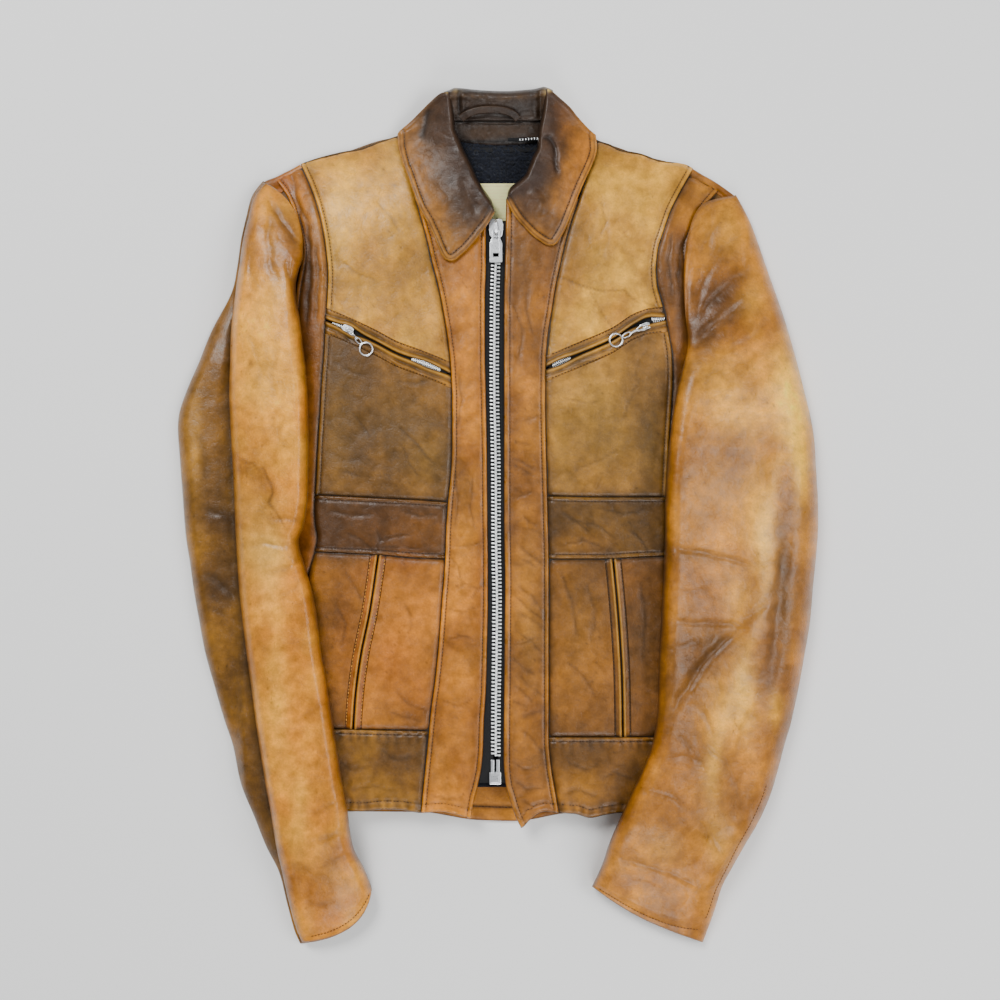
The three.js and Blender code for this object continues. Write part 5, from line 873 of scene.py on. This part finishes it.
# ------------------------------------------------------------------ pile lining, label
B = Build()
gu, gv = np.arange(436, 562, 0.85), np.arange(140, 262, 0.85)
U, V = np.meshgrid(gu, gv)
n1, n2 = noise(U / 2.1, V / 2.1, 501), noise(U / 4.3 + 0.6 * noise(U / 6, V / 6, 504), V / 4.3, 502)
z = 7.0 + 1.2 * n1 + 1.5 * np.abs(n2) + 1.2 * fbm(U / 16, V / 16, 503, 2)
edge = np.minimum(np.minimum(U - 436, 561 - U), np.minimum(V - 140, 261 - V)); z = 5.4 + (z - 5.4) * sm(edge / 3)
C = np.array((18,22,36), float) * (1 + 0.6 * n1 + 0.35 * n2)[..., None]
slabmesh(B, at(U, V, z), at(U, V, np.full_like(U, 2.7)), np.clip(C, 5, 60))
for (x0, x1, y0, y1) in ((300, 436, 190, 787), (562, 690, 200, 787), (436, 562, 262, 787)):
    U, V = np.meshgrid(np.arange(x0, x1 + 1, 3.0), np.arange(y0, y1 + 1, 3.0)); z = 4.9 + 0.5 * noise(U / 5, V / 5, 505)
    slabmesh(B, at(U, V, z), at(U, V, np.full_like(U, 2.7)), np.broadcast_to(np.array((16,19,30), float), U.shape + (3,)) * (1 + 0.4 * noise(U / 5, V / 5, 506))[..., None])
mp, ntp, bp_ = material("pile_fibre"); cl = node(ntp, "ShaderNodeAttribute", attribute_name="Col"); ntp.links.new(cl.outputs["Color"], bp_.inputs["Base Color"]); bp_.inputs["Roughness"].default_value = 0.95; bp_.inputs["Sheen Weight"].default_value = 0.25; bp_.inputs["Specular IOR Level"].default_value = 0.15
tcp = node(ntp, "ShaderNodeTexCoord"); np_ = node(ntp, "ShaderNodeTexNoise"); np_.inputs["Scale"].default_value = 1400; ntp.links.new(tcp.outputs["Object"], np_.inputs["Vector"]); bpp = node(ntp, "ShaderNodeBump"); bpp.inputs["Distance"].default_value = 0.0006; ntp.links.new(np_.outputs["Fac"], bpp.inputs["Height"]); ntp.links.new(bpp.outputs[0], bp_.inputs["Normal"])
B.obj("back_lining_pile", [mp], "shell", ["back_lining"], slot="pile")
B = Build()
U, V = np.meshgrid(np.linspace(473, 525, 60), np.linspace(183.5, 221, 44))
z = 9.6 + 0.5 * np.sin((U - 473) / 52 * np.pi) + 0.25 * fbm(U / 14, V / 14, 511, 2); eb = np.minimum(np.minimum(U - 473, 525 - U), np.minimum(V - 183.5, 221 - V)); z = z + 0.25 * gauss(eb - 1.2, 0.9)
C = np.broadcast_to(np.array((232,226,200), float), U.shape + (3,)) * (1 - 0.10 * gauss(eb - 2.4, 0.5) + 0.03 * fbm(U / 6, V / 6, 512, 2) + 0.025 * np.sin(V * 5.2))[..., None]
slabmesh(B, at(U, V, z), at(U, V, z - 0.7), C)
ml, ntl, bl_ = material("label_cloth"); cl = node(ntl, "ShaderNodeAttribute", attribute_name="Col"); ntl.links.new(cl.outputs["Color"], bl_.inputs["Base Color"]); bl_.inputs["Roughness"].default_value = 0.8
tcl = node(ntl, "ShaderNodeTexCoord"); wl = node(ntl, "ShaderNodeTexWave", bands_direction="Y"); wl.inputs["Scale"].default_value = 900; ntl.links.new(tcl.outputs["Object"], wl.inputs["Vector"]); bpl = node(ntl, "ShaderNodeBump"); bpl.inputs["Distance"].default_value = 0.0001; ntl.links.new(wl.outputs["Fac"], bpl.inputs["Height"]); ntl.links.new(bpl.outputs[0], bl_.inputs["Normal"])
B.obj("neck_label_cloth", [ml], "shell", ["neck_label"], slot="label_cloth")

# ------------------------------------------------------------------ hardware helpers
import bmesh
def prism(pts, z0, z1, bevel=0.25, holes=()):
    """outline (mm) extruded and its edges rounded; returns verts (mm) and faces"""
    bm = bmesh.new(); vs = [bm.verts.new((x, y, z0)) for x, y in pts]
    f = bm.faces.new(vs)
    if f.normal.z > 0: f.normal_flip()
    r = bmesh.ops.extrude_face_region(bm, geom=[f]); ext = [g for g in r["geom"] if isinstance(g, bmesh.types.BMVert)]
    bmesh.ops.translate(bm, vec=(0, 0, z1 - z0), verts=ext); bmesh.ops.recalc_face_normals(bm, faces=bm.faces)
    if bevel: bmesh.ops.bevel(bm, geom=list(bm.edges), offset=bevel, segments=2, affect="EDGES", profile=0.6)
    bmesh.ops.triangulate(bm, faces=bm.faces)
    bm.verts.ensure_lookup_table(); V = np.array([v.co[:] for v in bm.verts]); F = [[v.index for v in f.verts] for f in bm.faces]; bm.free(); return V, F
def rect(x0, x1, y0, y1): return [(x0, y0), (x1, y0), (x1, y1), (x0, y1)]
def putmm(B, V, F, C=(225,226,228), mat=0): B.add(V / 1000.0, np.array(F), C, 0, mat)
def tube(B, P, r, n=8, closed=False, C=(225,226,228), mat=0):
    P = np.asarray(P, float); m = len(P)
    t = np.roll(P, -1, 0) - np.roll(P, 1, 0) if closed else np.gradient(P, axis=0); t /= np.linalg.norm(t, axis=1)[:, None]
    up = np.array([0, 0, 1.0]); s = np.cross(t, up); l = np.linalg.norm(s, axis=1)[:, None]; s = np.where(l > 1e-3, s / (l + 1e-9), [1.0, 0, 0]); w = np.cross(s, t)
    th = np.linspace(0, 2 * np.pi, n, endpoint=False); R = P[:, None] + r * (np.cos(th)[None, :, None] * s[:, None] + np.sin(th)[None, :, None] * w[:, None])
    if closed: R = np.concatenate([R, R[:1]])
    B.add(R.reshape(-1, 3) / 1000.0, gridfaces(len(R), n, False, True), C, 0, mat)
def mm(u, v, h): return np.asarray(at(u, v, h)) * 1000

# ------------------------------------------------------------------ front zip
zc0 = FRONT - 3.4
zipc = pchip([200, 262, 300, 380, 470, 540, 600, 660, 700, 760, 800], [496, 495.6, 494.6, 494.2, 495.7, 496, 496.9, 496.5, 495.9, 495.7, 495.7])
pitch = 3.75
nt_ = int((757 - 262) / pitch)
outl = np.array([(-1.15,-.72),(-1.15,.72),(-.35,1.02),(.7,.55),(1.6,.62),(4.5,.95),(4.9,.7),(4.9,-.7),(4.5,-.95),(1.6,-.62),(.7,-.55),(-.35,-1.02)])
def tooth_mesh():
    lv = [(-1.25, .9), (-.9, 1.0), (.75, 1.0), (1.15, .93), (1.35, .72)]
    c = np.array([1.9, 0]); V = []
    for z, s in lv:
        q = c + (outl - c) * np.array([1 - (1 - s) * 0.35, s]); V.append(np.concatenate([q, np.full((12, 1), z)], 1))
    F = []
    for k in range(4):
        for j_ in range(12): F.append([12*k+j_, 12*k+(j_+1) % 12, 12*k+12+(j_+1) % 12, 12*k+12+j_])
    V = np.concatenate(V); F = [f[::-1] for f in F]
    # caps as quads fanned from opposite sides
    for base, flip in ((48, False), (0, True)):
        for a_, b_ in ((0, 11), (1, 10), (2, 9), (3, 8), (4, 7)):
            q = [base + a_, base + a_ + 1, base + b_ - 1, base + b_]; F.append(q[::-1] if not flip else q)
    return V, np.array(F)
TV, TF = tooth_mesh()
for k, sg in (("r", -1), ("l", 1)):
    B = Build()
    vv = np.arange(222, 786, 3.0); cc = zipc(vv)
    ot = 15.0 / 0.883
    a_, b_ = (cc - ot, cc - 2.4) if sg < 0 else (cc + 2.4, cc + ot)
    s_ = np.linspace(0, 1, 14)[None]; U = a_[:, None] * (1 - s_) + b_[:, None] * s_; V = vv[:, None] * np.ones((1, 14)); Z = np.full_like(U, zc0 + 0.45) + 0.12 * noise(U / 3, V / 9, 601)
    slabmesh(B, at(U, V, Z), at(U, V, Z - 0.9), np.broadcast_to(np.array((24,24,26), float), U.shape + (3,)), 0, 0)
    tube(B, [mm(zipc(v) + sg * 4.4, v, zc0 + 0.1) for v in np.arange(262, 758, 3.0)], 0.55, 8, C=(30,30,32), mat=0)
    VV, FF = [], []
    for i in range(nt_):
        v = 262 + (i + (0.5 if k == "l" else 0)) * pitch; c = mm(zipc(v), v, zc0)
        q = TV.copy(); q[:, 0] *= sg; VV.append(q * [0.86, 0.96, 0.96] + c); FF.append((TF[:, ::-1] if sg < 0 else TF) + i * len(TV))
    B.add(np.concatenate(VV) / 1000, np.concatenate(FF), (228,229,230), 0, 1)
    B.obj("main_zip_half_" + k + "_tape", [M_TAPE, M_TEETH], "shell", ["main_zip_half_" + k], slot="zip_tape")
B = Build(); c = mm(495.2, 778, zc0)
V, F = prism(rect(-5.2, 5.2, -5.3, 5.3), -2.2, 2.6, 0.7); putmm(B, V + c, F)
V, F = prism(rect(-3.4, 3.4, -3.4, 3.4), 2.2, 2.95, 0.3); putmm(B, V + c, F)
c2 = mm(495.2, 766, zc0)
for dx in (-2.4, 2.4): V, F = prism(rect(dx - 1.5, dx + 1.5, -5.6, 5.8), -1.2, 1.9, 0.5); putmm(B, V + c2, F)
B.obj("zip_retainer_box_metal", [M_NICKEL], "shell", ["zip_retainer_box"], slot="nickel", smooth=False)
# slider and pull
sx_, sy_ = mm(496, 229, zc0)[:2]
B = Build()
out = [(-3.6,-8.2),(3.6,-8.2),(5.4,-6.4),(6.3,-1),(6.3,4),(5.2,8),(2.4,8.6),(0,7.4),(-2.4,8.6),(-5.2,8),(-6.3,4),(-6.3,-1),(-5.4,-6.4)]
for z0, z1 in ((1.5, 2.95), (-2.9, -1.6)):
    V, F = prism(out, z0, z1, 0.45); putmm(B, V + [sx_, sy_, zc0], F)
for s in (-1, 1):
    for z0, z1 in ((0.85, 2.0), (-2.0, -0.75)):
        V, F = prism([(s*5.4,-6.2),(s*6.1,-1),(s*6.1,4),(s*5.7,6.5),(s*5.3,6.5),(s*5.5,4),(s*5.5,-1),(s*5.0,-6.2)][::s], z0, z1, 0.12); putmm(B, V + [sx_, sy_, zc0], F)
br = [(0, 6.2, 2.6), (0, 6.0, 4.6), (0, 4.6, 5.9), (0, 1.5, 6.2), (0, -2.6, 6.2), (0, -4.8, 5.6), (0, -5.7, 4.2), (0, -5.8, 2.6)]
br = cr(np.array(br), np.linspace(0, 7, 30)); V_l = []
for wx in (-0.7, 0, 0.7): tube(B, br + [sx_ + wx, sy_, zc0], 0.62, 8)
B.obj("main_slider_metal", [M_NICKEL], "main_slider", ["main_slider"], slot="nickel", smooth=False)
B = Build(); ay = sy_ - 2.6; az = zc0 + 4.0
def bar(pts, z0=-0.6, z1=0.75, bv=0.28): V, F = prism(pts, z0, z1, bv); putmm(B, V + [sx_, ay, az], F)
bar(rect(-3.0, 3.0, -0.6, 0.55), -0.55, 0.6, 0.2); bar(rect(-3.6, -2.3, -9.4, 0.6)); bar(rect(2.3, 3.6, -9.4, 0.6))
bar([(-3.9,-9.0),(-5.5,-10.6),(-5.5,-19.2),(-2.7,-19.2),(-2.7,-9.0)]); bar([(5.5,-10.6),(3.9,-9.0),(2.7,-9.0),(2.7,-19.2),(5.5,-19.2)])
bar([(-3.9,-6.6),(-5.2,-9.8),(5.2,-9.8),(3.9,-6.6)], -0.5, 0.6); bar(rect(-3.2, 3.2, -19.0, -9.2), -0.45, 0.35, 0.1)
bar(rect(-5.5, -2.6, -27.6, -18.9)); bar(rect(2.6, 5.5, -27.6, -18.9)); bar(rect(-3, 3, -27.6, -22.8)); bar(rect(-3, 3, -19.6, -18.6))
B.obj("main_pull_metal", [M_NICKEL], "main_pull", ["main_pull"], slot="nickel", smooth=False)

# ------------------------------------------------------------------ chest zips
for k, e0, e1, sx, Rg in (("r", (333,323), (447,373), 15, (366,349)), ("l", (664,319), (549,367), 19, (616,340))):
    p0, p1 = mm(*e0, FRONT - 5), mm(*e1, FRONT - 5); d = p1 - p0; L = np.linalg.norm(d[:2]); d = d / L; nrm = np.array([-d[1], d[0], 0])
    B = Build(); cz = chestZip[k]
    us = np.linspace(e0[0], e1[0], 90); mid = at(us, cz(us), FRONT - 2.6) * 1000
    tg = np.gradient(mid, axis=0); tg /= np.linalg.norm(tg, axis=1)[:, None]; ns = np.stack([-tg[:, 1], tg[:, 0], np.zeros(90)], 1)
    q = np.linspace(-5, 5, 6)
    G = mid[:, None] + ns[:, None] * q[None, :, None]; slabmesh(B, G[::-1] / 1000 if k == "r" else G / 1000, (G[::-1] if k == "r" else G) / 1000 - [0, 0, 0.0007], (20,20,22), 0, 0)
    s = np.concatenate([[0], np.cumsum(np.linalg.norm(np.diff(mid, axis=0), axis=1))]); n = int(s[-1] / 1.75)
    for i in range(n):
        for sg in (-1, 1):
            t = (i + (0.5 if sg > 0 else 0)) * 1.75
            if abs(t - sx) < 4.2: continue
            uq = np.interp(t, s, us)
            if not ((uq < 344 or 412 < uq < 440) if k == 'r' else (552 < uq < 570 or uq > 652)): continue
            c = np.array([np.interp(t, s, mid[:, j_]) for j_ in range(3)]); x = np.array([np.interp(t, s, tg[:, j_]) for j_ in range(3)]); y = np.array([-x[1], x[0], 0]) * sg
            V, F = TV * [0.46, 0.52, 0.6], TF if sg > 0 else TF[:, ::-1]
            W_ = c + V[:, :1] * y + V[:, 1:2] * x + [0, 0, 1] * (V[:, 2:] + 0.5)
            B.add(W_ / 1000, F if sg < 0 else F, (224,224,222), 0, 1)
    B.obj("chest_zip_" + k + "_tape", [M_TAPE, M_TEETH], "shell", ["chest_zip_chain_" + k], slot="zip_tape")
    # slider
    B = Build(); S = p0 + d * sx; ang = math.atan2(d[1], d[0]); ca, sa = math.cos(ang), math.sin(ang); Rm = np.array([[ca, -sa, 0], [sa, ca, 0], [0, 0, 1]])
    def pz(pts, z0, z1, bv): V, F = prism(pts, z0, z1, bv); putmm(B, V @ Rm.T + [S[0], S[1], 0], F)
    pz([(-4.8,-1.8),(-3,-2.9),(3,-3.0),(5.0,-2.0),(5.4,0),(5.0,2.0),(3,3.0),(-3,2.9),(-4.8,1.8)], FRONT - 1.0, FRONT + 0.5, 0.35)
    pz(rect(-4, 4.6, -2.4, 2.4), FRONT - 4.4, FRONT - 3.4, 0.2)
    for y_ in (-0.9, 0.9): pz(rect(-2.6, 2.2, y_ - 0.45, y_ + 0.45), FRONT + 0.3, FRONT + 1.9, 0.25)
    tube(B, np.array([(-0.9,-1.5,FRONT+1.3),(-0.9,1.5,FRONT+1.3)]) @ Rm.T + [S[0], S[1], 0], 0.5, 8)
    B.obj("chest_slider_" + k + "_metal", [M_NICKEL], "chest_slider_" + k, ["chest_slider_" + k], slot="nickel", smooth=False)
    # links and ring
    Rr = mm(*Rg, FRONT + 2); cd = (Rr - S); cd[2] = 0; cl_ = np.linalg.norm(cd); cd /= cl_; pd = np.array([-cd[1], cd[0], 0]); zc_ = FRONT + 1.9
    B = Build(); span = cl_ - 7.2 - 0.4
    m_ = 3 if span > 14 else 3; lw = span / m_ + 1.6
    for i in range(m_):
        c = S * [1, 1, 0] + cd * (0.4 + span * (i + 0.5) / m_) + [0, 0, zc_]; th = np.linspace(0, 2 * np.pi, 22, endpoint=False); flat = i % 2 == 0
        ox = np.cos(th)[:, None] * cd * (lw / 2 + 0.1); oy = np.sin(th)[:, None] * (pd * 1.75 if flat else np.array([0, 0, 1.15]) + pd * 0.5)
        tube(B, c + ox + oy, 0.52, 8, True)
    B.obj("chest_pull_chain_" + k + "_metal", [M_NICKEL], "chest_pull_chain_" + k, ["chest_pull_chain_" + k], slot="nickel")
    B = Build(); th = np.linspace(0, 2 * np.pi, 48, endpoint=False); c = Rr * [1, 1, 0] + [0, 0, zc_ - 0.2]
    tube(B, c + 5.7 * (np.cos(th)[:, None] * cd + np.sin(th)[:, None] * pd) + [0, 0, 0], 0.85, 12, True)
    B.obj("chest_ring_" + k + "_metal", [M_NICKEL], "chest_ring_" + k, ["chest_ring_" + k], slot="nickel")

# ------------------------------------------------------------------ back of the body
backL = byV([[738,205],[735,240],[728,300],[724,350],[728,400],[738,440],[742,600],[740,822]])
backR = byV([[260,190],[262,240],[268,300],[272,350],[268,400],[257,440],[250,600],[252,822]])
backTop = byU([[250,190],[283,175],[300,166],[340,154],[396,138],[449,137],[500,140],[548,137],[598,142],[640,155],[685,167],[715,186],[745,204]])
backHem = byU([[245,811],[420,812],[478,820],[516,821],[570,813],[748,811]])
def backpanel(name, T_, B_, styles, key, slot):
    U0, V0, c4 = coons(backR, backL, T_, B_, np.array([0, 1.0]), np.array([0, 1.0])); W = abs(c4[1][0] - c4[0][0]); Hh = 0.5 * (abs(c4[2][1] - c4[0][1]) + abs(c4[3][1] - c4[1][1]))
    U, V, c4 = coons(backR, backL, T_, B_, nodes1d(W, 3.4), nodes1d(Hh, 3.0))
    dist = {"T": V - T_(U), "B": B_(U) - V, "L": U - backR(V), "R": backL(V) - U}
    rel = 0.35 * fbm(U / 60, V / 60, 701, 3) + 0.14 * fbm(U / 18, V / 22, 702, 3) - 0.22 * veins(U / 26, V / 22, 703, 0.1) * sm(0.4 + noise(U / 60, V / 60, 704))
    C = tone(U, V, key, []); e = 0
    for s_, st in styles.items():
        dd = np.maximum(dist[s_], 0); e = e + 0.55 * edge_profile(dd, st)
        # darker in the stitch groove and along edges that dip under a neighbour: painted shade; the ochre band is edge
        # wear
        if st in STITCH_D: C = mix(C, OCHRE, 0.4 * gauss(dd - 1.7, 1.7)); C = C * (1 - 0.4 * gauss(dd - STITCH_D[st], 1.3))[..., None]
        if st == "under": C = C * (1 - 0.5 * gauss(dd, 1.6))[..., None]
    # colour lighter on raised relief and darker in hollows: painted shading
    C = C * (1 + 0.25 * np.clip(rel, -1, 1))[..., None]
    zb = np.clip(0.95 - rel - e, 0.03, 1.9); zt = np.full_like(zb, 2.2)
    B = Build()
    V3t, V3b = at(U, V, zt), at(U, V, zb); nv, nu = U.shape; n = nv * nu
    top_c = tone(U, V, "facing", []) if name == "back_hem_band" else tone(U, V, "under_r", [])
    if name == "back_hem_band":
        # hem band darker at its stitch groove and at its lower edge: painted shade
        dB = B_(U) - V; V3t = at(U, V, zt + 0.5 * gauss(dB - 4, 5) - 0.5 * gauss(dB - 13.5, 1.0) + 0.35 * fbm(U / 9, V / 9, 711, 2)); top_c = top_c * (1 - 0.4 * gauss(dB - 13.5, 1.4))[..., None] * (1 - 0.3 * gauss(dB, 1.2))[..., None]
    slabmesh(B, V3t, V3b, top_c)
    B.C[-1] = np.concatenate([top_c.reshape(-1, 3), C.reshape(-1, 3)])
    if name == "back_yoke":
        for A_, E_ in (([(300,164.5),(292,169),(284,173),(276,177),(268,180),(262,183)], [(303,169),(296,175),(290,183),(285,190),(280,193),(266,190)]), ([(686,165),(694,169.5),(702,174.5),(712,180),(722,186.5),(735,196)], [(688,178),(698,183),(709,190),(720,196),(727,202),(736,206)])):
            w_ = np.linspace(0, 1, 12)[:, None, None]; g0 = cr(np.array(A_, float), np.linspace(0, 5, 60)); g1 = cr(np.array(E_, float), np.linspace(0, 5, 60))
            if A_[0][0] < 400: g0, g1 = g0[::-1], g1[::-1]
            G = g0[None] * (1 - w_) + g1[None] * w_; Us_, Vs_ = G[..., 0], G[..., 1]; dd_ = np.hypot(Us_ - g0[None, :, 0], Vs_ - g0[None, :, 1])
            zz_ = 2.35 + 1.9 * np.sqrt(1 - (1 - np.clip(dd_ / 3, 0, 1)) ** 2) * (1 - sm((dd_ - 5) / 9) * 0.95)
            slabmesh(B, at(Us_, Vs_, zz_), at(Us_, Vs_, np.full_like(Us_, 2.2)), tone(Us_, Vs_, "side_panel_l"))
    for s_, st in styles.items():
        if st not in STITCH_D or s_ in "LR": continue
        f = T_ if s_ == "T" else B_; a_, b_ = (c4[0], c4[1]) if s_ == "T" else (c4[2], c4[3]); uu = np.linspace(a_[0] + 5, b_[0] - 5, 900); vv = f(uu) + (STITCH_D[st] if s_ == "T" else -STITCH_D[st])
        stitches(B, at(uu, vv, np.full(900, 0.75)), N=np.array([0, 0, -1.0]), colour=(70,44,26), w=0.3)
    if name == "back_hem_band": uu = np.linspace(300, 690, 1200); stitches(B, at(uu, B_(uu) - 13.5, np.full(1200, 2.3)), colour=(96,62,34))
    B.obj(name + "_leather", [M_LEATHER, M_THREAD], "shell", [name], slot=slot)
backpanel("back_yoke", backTop, row(238), {"B": "over"}, "back", "body_leather")
backpanel("back_panel", row(238), row(497), {"T": "under", "B": "under"}, "back", "body_leather")
backpanel("back_waist_band", row(497), row(558), {"T": "over", "B": "over"}, "waist_band_l", "dark_leather")
backpanel("back_lower_panel", row(558), row(733), {"T": "under", "B": "under"}, "back", "lower_leather")
backpanel("back_hem_band", row(733), backHem, {"T": "over", "B": "hem"}, "hem_band_l", "body_leather")
for n, m in (("front_lining_r", M_PILE), ("front_lining_l", M_PILE), ("liner_zip", M_TAPE)):
    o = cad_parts[n]; o.data.materials.clear(); o.data.materials.append(m)
B = Build()
for i in range(7):
    V, F = prism(rect(-0.4, 0.4, -0.9, 0.9), -0.4, 0.6, 0.15); putmm(B, V + mm(520 + i * 2.9, 139.8 - 0.2 * i, 12.1), F)
tube(B, [mm(u, 139.6, 10.6) for u in np.linspace(508, 542, 12)], 1.7, 8, C=(18,18,20), mat=1)
B.obj("liner_zip_teeth", [M_TEETH, M_TAPE], "shell", slot="nickel", smooth=False)

# ------------------------------------------------------------------ CAD nodes that stay
for n, m in (("chest_pocket_bag_r", M_BAG), ("chest_pocket_bag_l", M_BAG), ("hand_pocket_bag_r", M_BAG), ("hand_pocket_bag_l", M_BAG)):
    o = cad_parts[n]; o.data.materials.clear(); o.data.materials.append(m)

# ------------------------------------------------------------------ floor, lights, camera
def floor():
    me = bpy.data.meshes.new("floor"); s = 6.0
    me.from_pydata([(-s, -s, -0.0006), (s, -s, -0.0006), (s, s, -0.0006), (-s, s, -0.0006)], [], [(0, 1, 2, 3)])
    o = bpy.data.objects.new("floor", me); bpy.context.scene.collection.objects.link(o)
    m, nt, b = material("floor_pale"); b.inputs["Base Color"].default_value = (0.9, 0.9, 0.89, 1); b.inputs["Roughness"].default_value = 0.85
    me.materials.append(m)
floor()
def light(name, loc, size, power, target=(0, 0, 0), colour=(1, 1, 1)):
    d = bpy.data.lights.new(name, "AREA"); d.shape = "SQUARE"; d.size = size; d.energy = power; d.color = colour
    o = bpy.data.objects.new(name, d); bpy.context.scene.collection.objects.link(o); o.location = loc
    from mathutils import Vector
    o.rotation_euler = (Vector(target) - Vector(loc)).to_track_quat("-Z", "Y").to_euler()
light("key", (-0.9, 1.3, 1.9), 0.9, 52)
light("fill", (1.5, -0.1, 1.6), 1.1, 27)
light("top", (0.2, -1.8, 1.5), 1.0, 22)
w = bpy.context.scene.world or bpy.data.worlds.new("world"); bpy.context.scene.world = w; w.use_nodes = True
bg = w.node_tree.nodes.get("Background"); bg.inputs[0].default_value = (0.95, 0.97, 1.0, 1); bg.inputs[1].default_value = 0.34
cam = bpy.data.cameras.new("camera"); co = bpy.data.objects.new("camera", cam); bpy.context.scene.collection.objects.link(co)
cam.sensor_width = 36; cam.lens = 36 * TAPER / 900.0; cam.clip_start = 0.01
co.location = (-CX / 1000, -CY / 1000, TAPER / 1000); co.rotation_euler = (0, 0, 0); bpy.context.scene.camera = co

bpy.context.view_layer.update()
